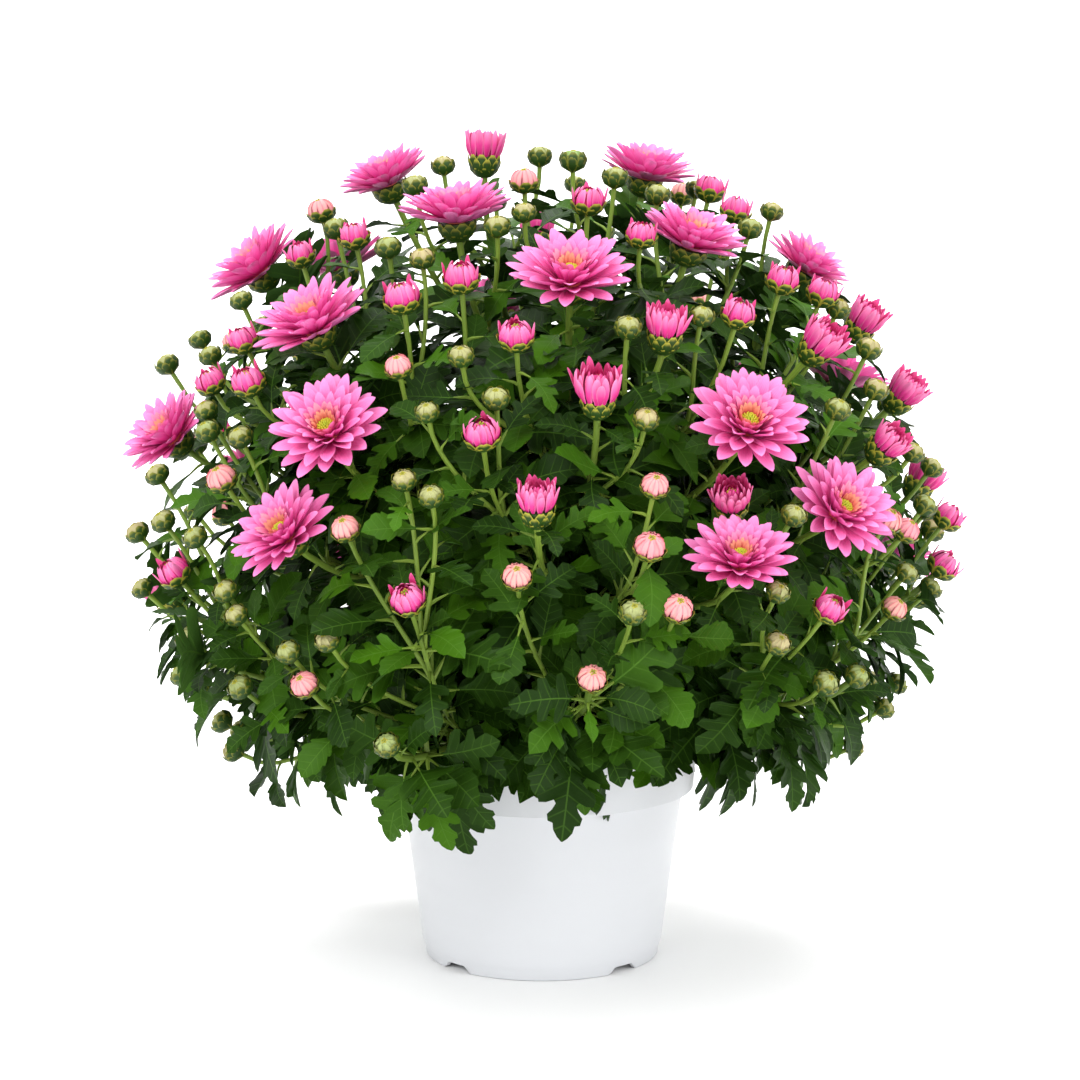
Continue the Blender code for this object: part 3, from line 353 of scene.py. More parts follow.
CROWN_RINGS = (
    (6, 0.64, -0.02, 1.24, 0.35, 58.0, 68.0, 12.0, 0.45, 0.05, 7, 5),
    (14, 0.64, 0.0, 1.20, 0.38, 60.0, 98.0, 8.0, 0.55, 0.20, 7, 5),
    (13, 0.54, 0.05, 1.14, 0.32, 72.0, 108.0, 6.0, 0.60, 0.50, 6, 3),
    (11, 0.40, 0.15, 0.98, 0.26, 80.0, 114.0, 4.0, 0.60, 0.75, 5, 3),
    (8, 0.25, 0.25, 0.78, 0.21, 86.0, 118.0, 2.0, 0.60, 0.95, 5, 3),
)
# The same for a bud by how far it has opened: peach ones stay shut, rose ones part at the top
SHUT_RING = (14, 0.80, 0.42, 1.62, 0.44, 58.0, 160.0, 0.0, 0.5, 0.20, 6, 3)
PARTED_RINGS = (
    (4, 0.74, 0.42, 1.50, 0.38, 62.0, 84.0, 10.0, 0.45, 0.05, 6, 3),
    (13, 0.74, 0.42, 1.52, 0.44, 58.0, 142.0, 4.0, 0.55, 0.20, 7, 3),
    (10, 0.62, 0.60, 1.22, 0.36, 72.0, 138.0, 4.0, 0.60, 0.70, 5, 3),
    (6, 0.40, 0.90, 0.82, 0.26, 88.0, 128.0, 2.0, 0.60, 0.95, 5, 3),
)
PARTED_GROWTH = 1.24
RING_TURN = 0.37  # from one ring to the next, as a share of the step between straps
# By chance: a strap's turn, length, width, lean and end slope in degrees, tone and cup
RING_CHANCE = (
    (-0.17, 0.17), (0.90, 1.04), (0.86, 1.1), (-5.0, 5.0), (-7.0, 7.0), (-0.06, 0.06), (0.5, 1.5),
)
SHUT_CHANCE = ((-0.1, 0.1), (0.94, 1.04), (-6.0, 4.0))  # a shut petal's turn, length and end slope
PARTED_CORE = ((0.30, 0.2), (0.70, 0.4), (0.82, 0.9), (0.62, 1.3), (0.30, 1.48))
PARTED_FROM = 0.7
# Globes inside a shut bud and round a bud's scales: girths, and first angle, last angle and steps
BUD_CORE = 0.84
BUD_CORE_SPAN = (8.0, 150.0, 6)
SCALE_SPAN = (0.0, 180.0, 13)
BUD_STEPS = 12
SCALE_GIRTHS = (1.05, 0.99)  # of a shut and a parted bud
PIT_HEIGHTS = (1.76, 1.52)
PIT_RADIUS = 0.26
CROWN_PIT = (0.20, 0.80)
PETAL_ROWS = (0.0, 0.24, 0.46, 0.64, 0.78, 0.89, 0.965, 1.0)
PETAL_THICKNESS = 0.0006
# A strap's width: its share at the foot, where it is widest and where it narrows, and how its tip rounds
STRAP_FOOT = 0.42
STRAP_WIDEST = 0.6
STRAP_NARROWS = 0.5
STRAP_TIP = (2.3, 0.62)
STRAP_SINK = 0.3
WIDE_STRAP = 0.008  # a wider strap is thicker, a narrower one thinner
DISC_RADIUS = 0.145
DISC_HEIGHT = 0.33
# Turned middles by shares of the head's radius: of a bloom under its disc, and of a half-open one
HEART_CORE = ((0.17, 0.0), (0.19, 0.12), (0.15, 0.24), (0.12, 0.30))
CROWN_CORE = ((0.42, 0.0), (0.50, 0.3), (0.40, 0.6), (0.20, 0.74))
DISC_FLORETS = 45
PIT_FLORETS = 9
CROWN_STEPS = 16
# A floret: sides, size against its room, rise of the disc, and its tip, rim and foot by its size
FLORET_SIDES = 5
FLORET_SIZE = 0.95
DISC_RISE = 0.35
FLORET_HEIGHTS = (0.8, -0.6, -3.0)
FLORET_FOOT = 0.9
SCALE_LIFT = 0.0004
SCALE_RISE = (0.4, 1.2)  # lifts at a scale's foot, and what its tip adds
SCALE_CROWN = (1.3, 0.6)  # lifts in a scale's middle, and what its sides lose
SCALE_THICKNESS = 0.0005
# A scale from its foot to its tip: places along it and widths
SCALE_ROWS = (0.0, 0.45, 0.82, 1.0)
SCALE_WIDTHS = (0.8, 1.0, 0.80, 0.30)
SCALE_FROM = 0.05
SCALE_CHANCE = 0.08
# Rows of scales on a bud: how many, how wide, turn, and how far up a green and a coloured bud they reach
BUD_SCALES = (
    (7, 1.25, 0.5, 0.74, 0.50),
    (8, 1.15, 0.0, 0.60, 0.38),
)
SCALES_DRAWN_DOWN = 2.2  # how fast the scales' reach goes from the green buds' to the coloured ones'
# Cups under the flowers: radius of the top and depth, profile by these, and the bowl inside the scales
CUP_SIZES = {"bloom": (0.0088, 0.0085), "half_bloom": (0.0077, 0.0095)}
CUP_PROFILE = ((0.20, -1.0), (0.45, -0.98), (0.72, -0.82), (0.90, -0.55), (1.0, -0.2), (1.0, 0.10))
CUP_INSIDE = 0.96
CUP_DROP = 0.08
CUP_STEPS = 20
CUP_BRIGHTNESS = {"bloom": 0.25, "half_bloom": 0.9}  # of the scales' edges
CUP_SCALES = ((9, 1.25, 0.0, 1.0), (9, 1.15, 0.5, 0.82), (9, 1.1, 0.25, 0.55))

# Pot, soil and stage
FINE_POT_STEPS = 192
SOIL_RINGS = 22
SOIL_MIDDLE = 0.02  # of its rim's radius, where its rings start
SOIL_STEPS = 72
SOIL_ROUGHNESS = 0.0007
SOIL_SEED = 8
CRUMBS = 900
CRUMB_SIZE = 0.0015
CRUMB_SHAPES = ((0.8, 1.6), (0.6, 1.1), (0.4, 0.8))
CRUMB_SPREAD = 0.45
CRUMB_ROUGHNESS = 0.18
CRUMB_TILT = 0.5
CRUMB_REACH = 0.93
MOST_CHANCE = 1.5  # where normal draws are cut off
FLOOR_FRONT = 8.0
FLOOR_BACK = 2.3
FLOOR_BEND = 0.9
FLOOR_HALF_WIDTH = 8.0
WALL_HEIGHT = 3.5
BEND_STEPS = 12
SENSOR_WIDTH = 36.0
WORLD_STRENGTH = 0.92
# Name, place, what it is aimed at, size in metres and power in watts
LIGHTS = (
    ("key", (-0.8, -1.5, 1.7), (0.0, 0.0, 0.2), 1.7, 32.0),
    ("fill", (1.5, -1.2, 0.9), (0.0, 0.0, 0.2), 1.2, 11.0),
    ("top", (0.3, 0.5, 1.9), (0.0, 0.0, 0.2), 1.4, 15.0),
    ("wall", (0.0, 1.4, 2.4), (0.0, 3.2, 0.6), 1.6, 90.0),
)
SHARP_ANGLE = math.radians(62.0)

# Material slots of a spray's piece and of a flower's piece
LEAF, LEAF_BACK, STEM, SCALE, BUD, CROWN_FINE, CROWN_BACK_FINE, PIT = range(8)
PETAL, PETAL_BACK, CROWN, CROWN_BACK, DISC = range(5)

# Colours, as linear values
LEAF_FRONT = ((0.010, 0.032, 0.002), (0.066, 0.190, 0.005))
LEAF_UNDER = ((0.026, 0.068, 0.012), (0.060, 0.145, 0.020))
LEAF_VEIN = (0.09, 0.21, 0.022)
STEM_DARK = (0.07, 0.13, 0.018)
STEM_PALE = (0.23, 0.35, 0.04)
SCALE_DARK = (0.013, 0.038, 0.004)
SCALE_GREEN = (0.032, 0.090, 0.008)
SCALE_EDGE = (0.50, 0.46, 0.05)
BUD_GREEN = (0.28, 0.41, 0.12)
BUD_PEACH = (0.90, 0.46, 0.38)
BUD_ROSE = (0.88, 0.20, 0.36)
BUD_FOLD = (0.74, 0.17, 0.22)
BUD_PIT = ((0.20, 0.24, 0.02), (0.50, 0.44, 0.04))
DISC_COLOURS = ((0.42, 0.52, 0.04), (0.68, 0.60, 0.05))
HEART_CORAL = (0.82, 0.05, 0.06)
HEART_CREAM = (0.96, 0.44, 0.30)
CROWN_DEEP = (0.40, 0.004, 0.06)
CROWN_RED = (0.68, 0.02, 0.18)
CROWN_BASE = (0.60, 0.012, 0.18)
CROWN_PINK = (0.82, 0.05, 0.30)
# Petals: foot, middle and tip, then foot and tip in the heart
PETAL_FRONT = ((0.76, 0.030, 0.29), (0.90, 0.17, 0.49), (0.95, 0.31, 0.63), HEART_CORAL, HEART_CREAM)
PETAL_UNDER = ((0.66, 0.03, 0.25), (0.80, 0.10, 0.42), (0.90, 0.26, 0.58), HEART_CORAL, HEART_CREAM)
CROWN_INSIDE = (CROWN_DEEP, CROWN_RED, (0.84, 0.12, 0.36), CROWN_DEEP, CROWN_RED)
CROWN_OUTSIDE = (CROWN_BASE, CROWN_PINK, (0.93, 0.27, 0.52), CROWN_BASE, CROWN_PINK)
POT_WHITE = (0.715, 0.73, 0.755)
POT_SHADE = (0.68, 0.69, 0.72)
SOIL_DARK = (0.018, 0.012, 0.008)
SOIL_BROWN = (0.06, 0.036, 0.020)
SOIL_BARK = (0.16, 0.09, 0.045)
FLOOR_PALE = (0.97, 0.97, 0.97)
FLOOR_PALER = (0.98, 0.98, 0.98)

Head = namedtuple("Head", "kind base axis radius tint")
Branch = namedtuple("Branch", "controls head")
Leaf = namedtuple("Leaf", "root heading normal size bend")
Stem = namedtuple("Stem", "direction whorl_shares leaf_count")
Spray = namedtuple("Spray", "stem branches leaves")


# Plan of the heads

def unit(vector):
    return vector / np.linalg.norm(vector)


def square_to(vector, axis):
    """Direction nearest to a vector among those square to an axis."""
    return unit(vector - axis * vector.dot(axis))


def slanted(turn, lean):
    """Direction by its turn from +Y and its lean from the vertical."""
    return np.array((math.sin(lean) * math.sin(turn), math.sin(lean) * math.cos(turn), math.cos(lean)))


def eye_frame():
    """Eye, and its right, up and forward directions."""
    away = np.array((0.0, -math.cos(EYE_RISE), math.sin(EYE_RISE)))
    right = np.array((1.0, 0.0, 0.0))
    up = np.cross(right, -away)
    return EYE_TARGET + EYE_DISTANCE * away, right, up, -away


def on_dome(across, down, behind=0.0):
    """Point of the dome's front under a pixel, or the nearest to the dome on its line of sight."""
    eye, right, up, forward = eye_frame()
    line = unit(forward + right * (across - FRAME_MIDDLE) / FOCAL_PIXELS
                - up * (down - FRAME_MIDDLE) / FOCAL_PIXELS)
    start = (eye - DOME_CENTRE) / DOME_RADII
    step = line / DOME_RADII
    nearest = -start.dot(step) / step.dot(step)
    depth = 1.0 - np.dot(start + nearest * step, start + nearest * step)
    back = math.sqrt(max(depth, 0.0) / step.dot(step))
    return eye + (nearest - back + behind) * line


def facing(lean, turn):
    """Axis of a head that leans in the picture and is turned away from the eye, both in degrees."""
    _, right, up, forward = eye_frame()
    lean, turn = np.radians((lean, turn))
    across = math.sin(lean) * right + math.cos(lean) * up
    return -math.cos(turn) * forward + math.sin(turn) * across


def outward(place):
    """Axis of a head that faces out from the focus, raised a little to the light."""
    return unit(unit(place - FOCUS) + HEAD_LIFT * UP)


def set_head(kind, place, axis, radius, tint=0.5):
    return Head(kind, place - SET_BACK[kind] * radius * axis, axis, radius, tint)


def front_heads():
    heads = []
    for kind, table in (("bloom", FRONT_BLOOMS), ("half_bloom", FRONT_HALF_BLOOMS)):
        for across, down, lean, turn, radius, *behind in table:
            heads.append(set_head(kind, on_dome(across, down, *behind), facing(lean, turn), radius))
    for across, down, radius, tint, *behind in FRONT_BUDS:
        place = on_dome(across, down, *behind)
        heads.append(set_head("bud", place, outward(place), radius, tint))
    return heads


def dome_point(turn, lean):
    """Point of the dome on a line from the focus, by its turn from +Y and lean from the vertical."""
    line = slanted(turn, lean)
    start = (FOCUS - DOME_CENTRE) / DOME_RADII
    step = line / DOME_RADII
    middle = -start.dot(step) / step.dot(step)
    return FOCUS + (middle + math.sqrt(middle ** 2 - (start.dot(start) - 1.0) / step.dot(step))) * line


def back_heads(heads):
    """Heads spread evenly over the back, each set clear of all that are there."""
    draw = np.random.default_rng(BACK_SEED)
    added = []
    for kind, (count, radius, apart) in (
        ("bloom", BACK_BLOOMS),
        ("half_bloom", BACK_HALF_BLOOMS),
        ("bud", BACK_BUDS),
    ):
        for _ in range(count):
            taken = np.array([head.base for head in heads + added])
            best = None
            for _ in range(BACK_TRIES):
                turn = draw.uniform(-BACK_WIDTH, BACK_WIDTH)
                lean = math.acos(draw.uniform(math.cos(BACK_LOWEST), 1.0))
                place = dome_point(turn, lean)
                room = np.linalg.norm(taken - place, axis=1).min()
                if best is None or room > best[0]:
                    best = (room, place)
                if room > apart:
                    break
            added.append(set_head(kind, best[1], outward(best[1]), radius))
    return added


# Plan of the stems

def plan_stems():
    stems = []
    for count, lean, first, whorl_shares, leaf_count in STEM_RINGS:
        for index in range(count):
            turn = math.radians(first + 360.0 * index / count)
            stems.append(Stem(slanted(turn, math.radians(lean)), whorl_shares, leaf_count))
    return stems


def nearest_stem(place, stems):
    ray = unit(place - FOCUS)
    return int(np.argmax([ray.dot(stem.direction) for stem in stems]))


def stem_foot(direction):
    """Where a stem leaves the soil."""
    level = direction * (1.0, 1.0, 0.0)
    spread = np.linalg.norm(level)
    away = min((SOIL_TOP - FOCUS[2]) * spread / direction[2], WIDEST_FOOT)
    return SOIL_TOP * UP + level * away / max(spread, GAP)


def bezier(controls, share):
    """Point of a Bezier curve and its direction there."""
    points = [np.asarray(point) for point in controls]
    while len(points) > 2:
        points = [a + (b - a) * share for a, b in zip(points, points[1:])]
    return points[0] + (points[1] - points[0]) * share, unit(points[1] - points[0])


def curve_points(controls, count):
    return np.array([bezier(controls, index / (count - 1))[0] for index in range(count)])


def curve_length(controls):
    return np.linalg.norm(np.diff(curve_points(controls, TEST_POINTS), axis=0), axis=1).sum()


def along(points, share):
    """Point and direction at a share of a line of points."""
    index = min(int(share * (len(points) - 1)), len(points) - 2)
    span = points[index + 1] - points[index]
    return points[index] + span * (share * (len(points) - 1) - index), unit(span)


def stem_branch(stem, head):
    """Stem from the soil to its leading head: straight up over the pot's rim, then outwards."""
    foot = stem_foot(stem.direction) + STEM_NECK * UP
    length = np.linalg.norm(head.base - foot)
    rise = foot + STEM_RISE * UP + stem.direction * STEM_BENDS[0] * length
    return Branch((foot, rise, head.base - head.axis * STEM_BENDS[1] * length, head.base), head)


def side_branch(stem, stem_curve, head):
    """Stalk that forks off at a whorl at a narrow angle and meets its head along the head's axis."""
    gaps = [np.linalg.norm(bezier(stem_curve, share)[0] - head.base)
            for share in np.linspace(0.0, 1.0, FORK_STEPS + 1)]
    fork = np.argmin(gaps) / FORK_STEPS - min(gaps) / math.tan(FORK_ANGLE) / curve_length(stem_curve)
    fork = min(stem.whorl_shares, key=lambda share: abs(share - fork))
    start, heading = bezier(stem_curve, fork)
    return Branch(stalk_controls(start, heading, head, STALK_BENDS), head)


def stalk_controls(start, heading, head, bends):
    """Controls of a stalk that leaves its start along a heading and meets a head along its axis."""
    reach = np.linalg.norm(head.base - start)
    return start, start + heading * bends[0] * reach, head.base - head.axis * bends[1] * reach, head.base


def plan_branches(stem, heads):
    """The stem and the stalks that carry a share of the heads; the first is the stem."""
    def lead(head):
        return unit(head.base - FOCUS).dot(stem.direction) + LEADER_BONUS[head.kind]
    heads = sorted(heads, key=lead, reverse=True)
    first = stem_branch(stem, heads[0])
    return [first] + [side_branch(stem, first.controls, head) for head in heads[1:]]


# Plan of the leaves

def blade_point(leaf, share, width):
    """Point of a blade's middle surface by its shares of length and width."""
    across = np.cross(leaf.heading, leaf.normal)
    length = share * LEAF_LENGTH * leaf.size
    half_width = width * LEAF_WIDTH * leaf.size
    out = PETIOLE_LENGTH * leaf.size + length * (1.0 - BEND_SHORTENING * leaf.bend * share)
    lift = LEAF_FOLD * abs(half_width) - leaf.bend * length * share
    return leaf.root + leaf.heading * out + across * half_width + leaf.normal * lift


def leaf_points(leaf):
    """Points all over a leaf, its petiole's root left out."""
    points = [leaf.root + leaf.heading * PETIOLE_LENGTH * leaf.size * (index + 1) / PETIOLE_TESTS
              for index in range(PETIOLE_TESTS)]
    points += [blade_point(leaf, share, 0.0) for share in RIB_SHARES]
    for share, width in LOBE_SHARES:
        for side in (-1.0, 1.0):
            points.append(blade_point(leaf, share, side * width))
            points.append(blade_point(leaf, share, side * width * 0.5))
    return np.array(points)


def share_planes(stems):
    """For each stem, the normals of the planes through the focus that part it from the others."""
    return [np.array([unit(own.direction - other.direction) for other in stems if other is not own])
            for own in stems]


def straight_pieces(branches):
    """Starts and ends of the short straight pieces that branches are tested by."""
    lines = [curve_points(branch.controls, TEST_POINTS) for branch in branches]
    return np.concatenate([line[:-1] for line in lines]), np.concatenate([line[1:] for line in lines])


def gap_to_lines(points, starts, ends):
    """Least distance from any of the points to any of the straight pieces."""
    spans = ends - starts
    offsets = points[:, None, :] - starts[None, :, :]
    shares = np.clip((offsets * spans).sum(axis=2) / (spans ** 2).sum(axis=1), 0.0, 1.0)
    return np.linalg.norm(offsets - shares[:, :, None] * spans, axis=2).min()


def clear_of_pot(points):
    away = np.hypot(points[:, 0], points[:, 1])
    low = points[:, 2] < POT_HEIGHT + POT_MARGIN
    return not (low & (away < LIP_RADIUS + POT_MARGIN)).any()


def within_dome(points, widest, top):
    """Whether points stay inside the dome of leaves, which the heads at the top stand above."""
    scaled = np.linalg.norm((points - DOME_CENTRE) / DOME_RADII, axis=1)
    height = np.clip((points[:, 2] - DOME_CENTRE[2]) / DOME_RADII[2], 0.0, 1.0)
    return (scaled < widest + (top - widest) * height).all()


def head_spaces(heads):
    """Bases, axes and reach of the spaces in front of the open and half-open heads."""
    flowers = [head for head in heads if head.kind != "bud"]
    return (np.array([head.base for head in flowers]), np.array([head.axis for head in flowers]),
            np.array([head.radius for head in flowers]) + BLOOM_MARGIN)


def in_space(points, spaces, depth, opening, behind):
    """Whether a point is in one of the spaces that reach out from bases along axes."""
    bases, axes, reach = spaces
    offsets = points[:, None, :] - bases
    rise = (offsets * axes).sum(axis=2)
    away = np.linalg.norm(offsets - rise[:, :, None] * axes, axis=2)
    return ((away < reach) & (rise < depth) & (rise > opening * away - behind)).any()


def head_middle(head):
    return head.base + head.axis * head.radius * 0.5


class Surroundings:
    """What the leaves of one spray keep clear of."""

    def __init__(self, index, planes, plant):
        self.planes = planes[index]
        heads = [branch.head for branches in plant for branch in branches]
        self.bases = np.array([head.base for head in heads])
        self.spaces = head_spaces(heads)
        others = [branch for number, branches in enumerate(plant) if number != index for branch in branches]
        self.others = straight_pieces(others)
        self.own = straight_pieces(plant[index])

    def clear(self, leaf):
        points = leaf_points(leaf)
        if (self.planes @ (points - FOCUS).T).min() < SHARE_MARGIN:
            return False
        if not within_dome(points, *LEAF_REACH) or not clear_of_pot(points):
            return False
        if in_space(points, self.spaces, *BLOOM_SPACE):
            return False
        if np.linalg.norm(points[:, None, :] - self.bases, axis=2).min() < HEAD_MARGIN:
            return False
        blade = points[PETIOLE_TESTS:]
        return (gap_to_lines(points, *self.others) > STALK_MARGIN
                and gap_to_lines(blade, *self.own) > OWN_STALK_MARGIN)


def level_frame(direction, way):
    """Two directions square to a stem's way, the first as level as the stem's lean allows."""
    level = unit(np.cross((0.0, 1.0, 0.0) if direction[2] > UPRIGHT else UP, direction))
    first = square_to(level, way)
    return first, np.cross(way, first)


def whorl_leaves(root, way, frame, start, rise, surroundings):
    """Leaves all round a stem, each as large as its surroundings leave room for."""
    leaves = []
    for index in range(WHORL_LEAVES):
        turn = FULL_TURN * (index + start) / WHORL_LEAVES
        out = math.cos(turn) * frame[0] + math.sin(turn) * frame[1]
        heading = unit(math.cos(rise) * out + math.sin(rise) * way)
        for size in WHORL_SIZES:
            leaf = Leaf(root, heading, square_to(way, heading), size, WHORL_BEND)
            if surroundings.clear(leaf):
                break
        leaves.append(leaf)
    return leaves


def plan_whorl(stem, curve, number, surroundings):
    """Leaves of the whorl at one place of a stem, turned to where they have most room."""
    root, way = bezier(curve, stem.whorl_shares[number])
    frame = level_frame(stem.direction, way)
    rise = HIGHEST_RISE * number / (len(stem.whorl_shares) - 1)
    whorls = [whorl_leaves(root, way, frame, 1.0 + 0.5 * number + shift, rise, surroundings)
              for shift in WHORL_TURNS]
    return max(whorls, key=lambda leaves: sum(leaf.size for leaf in leaves))


def draw_leaf(draw, spines):
    """A leaf at a random place on a spray, rising from its stalk and turned to the light."""
    lengths = np.array([np.linalg.norm(spine[-1] - spine[0]) for spine in spines])
    spine = spines[draw.choice(len(spines), p=lengths / lengths.sum())]
    share = draw.uniform(*LONE_PLACES)
    root, way = along(spine, share)
    side = unit(np.cross(way, draw.normal(size=3)))
    heading = unit(LONE_HEADING[0] * way + LONE_HEADING[1] * side + LONE_HEADING[2] * UP)
    normal = square_to(to_light(root, LONE_LIGHT, draw), heading)
    size = draw.uniform(*LONE_SIZES) * (1.0 - LONE_SHRINK[1] * max(share - LONE_SHRINK[0], 0.0))
    return Leaf(root, heading, normal, size, draw.uniform(*LONE_BENDS))


def to_light(root, shares, draw):
    """Way out of the plant and up, with some chance in it."""
    return shares[0] * unit(root - FOCUS) + shares[1] * UP + shares[2] * draw.normal(size=3)


def lone_leaves(stem, index, branches, surroundings):
    """The outermost of many leaves drawn at random that keep clear of all around them."""
    draw = np.random.default_rng(LEAF_SEED + index)
    knots = (0.0, *stem.whorl_shares, 1.0)
    spines = [np.array([bezier(branches[0].controls, share)[0] for share in knots])]
    spines += [curve_points(branch.controls, STALK_POINTS[branch.head.kind]) for branch in branches[1:]]
    tried = []
    for _ in range(LEAF_TRIES):
        leaf = draw_leaf(draw, spines)
        if surroundings.clear(leaf):
            middle = leaf_points(leaf).mean(axis=0)
            tried.append((np.linalg.norm((middle - DOME_CENTRE) / DOME_RADII), middle, leaf))
    chosen = []
    for _, middle, leaf in sorted(tried, key=lambda row: -row[0]):
        if all(np.linalg.norm(middle - other) > LEAF_SPACING for other, _ in chosen):
            chosen.append((middle, leaf))
    return [leaf for _, leaf in chosen[:stem.leaf_count]]


def plan_plant():
    """All sprays: for each, its branches, and the leaves in whorls and alone."""
    heads = front_heads()
    heads += back_heads(heads)
    stems = plan_stems()
    shares = [[] for _ in stems]
    for head in heads:
        shares[nearest_stem(head.base, stems)].append(head)
    plant = [plan_branches(stem, share) for stem, share in zip(stems, shares)]
    planes = share_planes(stems)
    sprays = []
    for index, (stem, branches) in enumerate(zip(stems, plant)):
        surroundings = Surroundings(index, planes, plant)
        leaves = [leaf for number in range(len(stem.whorl_shares))
                  for leaf in plan_whorl(stem, branches[0].controls, number, surroundings)
                  if leaf.size > SMALLEST_WHORL_LEAF]
        sprays.append(Spray(stem, branches, leaves + lone_leaves(stem, index, branches, surroundings)))
    return sprays


# Gathering meshes

class Batch:
    """Points, triangles and growth values gathered for one mesh.

    A point's growth is its place across its leaf or petal (-1 to 1), its place along it (0 to 1)
    and a number that sets the colour of the whole leaf or petal (0 to 1).
    """

    def __init__(self):
        self.points = []
        self.faces = []
        self.growth = []
        self.slots = []
        self.count = 0

    def add(self, points, faces, across, along_it, tone, slot):
        points = np.asarray(points).reshape(-1, 3)
        growth = np.empty((len(points), 3))
        growth[:, 0] = np.ravel(across)
        growth[:, 1] = np.ravel(along_it)
        growth[:, 2] = tone
        self.points.append(points)
        self.growth.append(growth)
        self.faces.append(np.asarray(faces) + self.count)
        self.slots.append(np.full(len(faces), slot))
        self.count += len(points)


def make_piece(name, batch, materials, slot, *nodes):
    """Smooth mesh from a batch, riding on the plant and standing for its solids."""
    mesh = bpy.data.meshes.new(name)
    mesh.from_pydata(np.concatenate(batch.points).tolist(), [], np.concatenate(batch.faces).tolist())
    for material in materials:
        mesh.materials.append(material)
    mesh.polygons.foreach_set("material_index", np.concatenate(batch.slots).astype(np.int32))
    growth = mesh.attributes.new("growth", "FLOAT_VECTOR", "POINT")
    growth.data.foreach_set("vector", np.concatenate(batch.growth).astype(np.float32).ravel())
    mesh.shade_smooth()
    mesh.set_sharp_from_angle(angle=SHARP_ANGLE)
    piece = bpy.data.objects.new(name, mesh)
    bpy.context.scene.collection.objects.link(piece)
    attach(piece, "root")
    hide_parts(*nodes)
    return piece


def grid_faces(index, closed=False, turned=False):
    """Triangles of a grid of point numbers, its last column joined to its first where closed.

    Where a square is turned, it is split along its other diagonal.
    """
    right = np.roll(index, -1, axis=1) if closed else index[:, 1:]
    left = index if closed else index[:, :-1]
    a, b, c, d = left[:-1], right[:-1], right[1:], left[1:]
    turned = np.expand_dims(turned, -1)
    first = np.where(turned, np.stack([a, b, d], axis=-1), np.stack([a, b, c], axis=-1))
    second = np.where(turned, np.stack([b, c, d], axis=-1), np.stack([a, c, d], axis=-1))
    return np.concatenate([first.reshape(-1, 3), second.reshape(-1, 3)])


def sheet_faces(rows, columns):
    """Triangles of a thin closed sheet: a top grid, then the inner points of the one under it."""
    top = np.arange(rows * columns).reshape(rows, columns)
    under = top.copy()
    inner = (rows - 2) * (columns - 2)
    under[1:-1, 1:-1] = rows * columns + np.arange(inner).reshape(rows - 2, columns - 2)
    lower = np.arange(rows - 1)[:, None] < 0.5 * (rows - 1)
    left = np.arange(columns - 1)[None, :] < 0.5 * (columns - 1)
    return grid_faces(top, turned=lower != left), grid_faces(under, turned=lower != left)[:, ::-1]


def add_sheet(batch, middle, normal, thickness, across, along_it, tone, slots):
    """Thin closed sheet round a grid of points, as thick as told but sharp at its edge."""
    rows, columns = middle.shape[:2]
    rise = np.zeros((rows, columns, 1))
    rise[1:-1, 1:-1] = 0.5 * thickness
    top, under = middle + normal * rise, middle - normal * rise
    points = np.concatenate([top.reshape(-1, 3), under[1:-1, 1:-1].reshape(-1, 3)])
    across = np.concatenate([np.ravel(across), np.ravel(across[1:-1, 1:-1])])
    along_it = np.concatenate([np.ravel(along_it), np.ravel(along_it[1:-1, 1:-1])])
    faces, back = sheet_faces(rows, columns)
    start = batch.count
    batch.add(points, faces, across, along_it, tone, slots[0])
    batch.faces.append(back + start)
    batch.slots.append(np.full(len(back), slots[1]))


def ring_turns(count):
    """Even turns round a ring."""
    return FULL_TURN * np.arange(count) / count


def closed_rings(rings):
    """Points of rings and of the middles of their two caps, and the triangles over them."""
    index = np.arange(rings.shape[0] * rings.shape[1]).reshape(rings.shape[:2])
    after = np.roll(index, -1, axis=1)
    first, last = np.full(rings.shape[1], index.size), np.full(rings.shape[1], index.size + 1)
    caps = [np.stack([index[0], first, after[0]], axis=1), np.stack([index[-1], after[-1], last], axis=1)]
    points = np.concatenate([rings.reshape(-1, 3), rings[[0, -1]].mean(axis=1)])
    return points, np.concatenate([grid_faces(index, closed=True)] + caps)


def tube(batch, line, radii, sides, tone, slot):
    """Round rod along a line of points, closed at both ends."""
    line = np.asarray(line)
    ways = np.gradient(line, axis=0)
    ways /= np.linalg.norm(ways, axis=1)[:, None]
    side = np.cross(ways[0], UP if abs(ways[0][2]) < 0.9 else (0.0, 1.0, 0.0))
    turns = ring_turns(sides)
    rings = []
    for place, way, radius in zip(line, ways, radii):
        side = square_to(side, way)
        other = np.cross(way, side)
        rings.append(place + radius * (np.cos(turns)[:, None] * side + np.sin(turns)[:, None] * other))
    points, faces = closed_rings(np.array(rings))
    share = np.concatenate([np.repeat(np.linspace(0.0, 1.0, len(line)), sides), (0.0, 1.0)])
    across = np.concatenate([np.tile(np.cos(turns), len(line)), (0.0, 0.0)])
    batch.add(points, faces, across, share, tone, slot)


def turned_points(profile, steps):
    """Rings of points about Z from a profile of radii and heights."""
    turns = ring_turns(steps)
    profile = np.asarray(profile)
    rings = np.empty((len(profile), steps, 3))
    rings[:, :, 0] = profile[:, :1] * np.cos(turns)
    rings[:, :, 1] = profile[:, :1] * np.sin(turns)
    rings[:, :, 2] = profile[:, 1:]
    return rings


def placed(points, place, axis, turn=0.0):
    """Points moved from a head's own frame, whose Z is its axis, to its place."""
    matrix = np.array(Vector(axis).to_track_quat("Z", "Y").to_matrix() @ Matrix.Rotation(turn, 3, "Z"))
    return points @ matrix.T + place


# Leaves

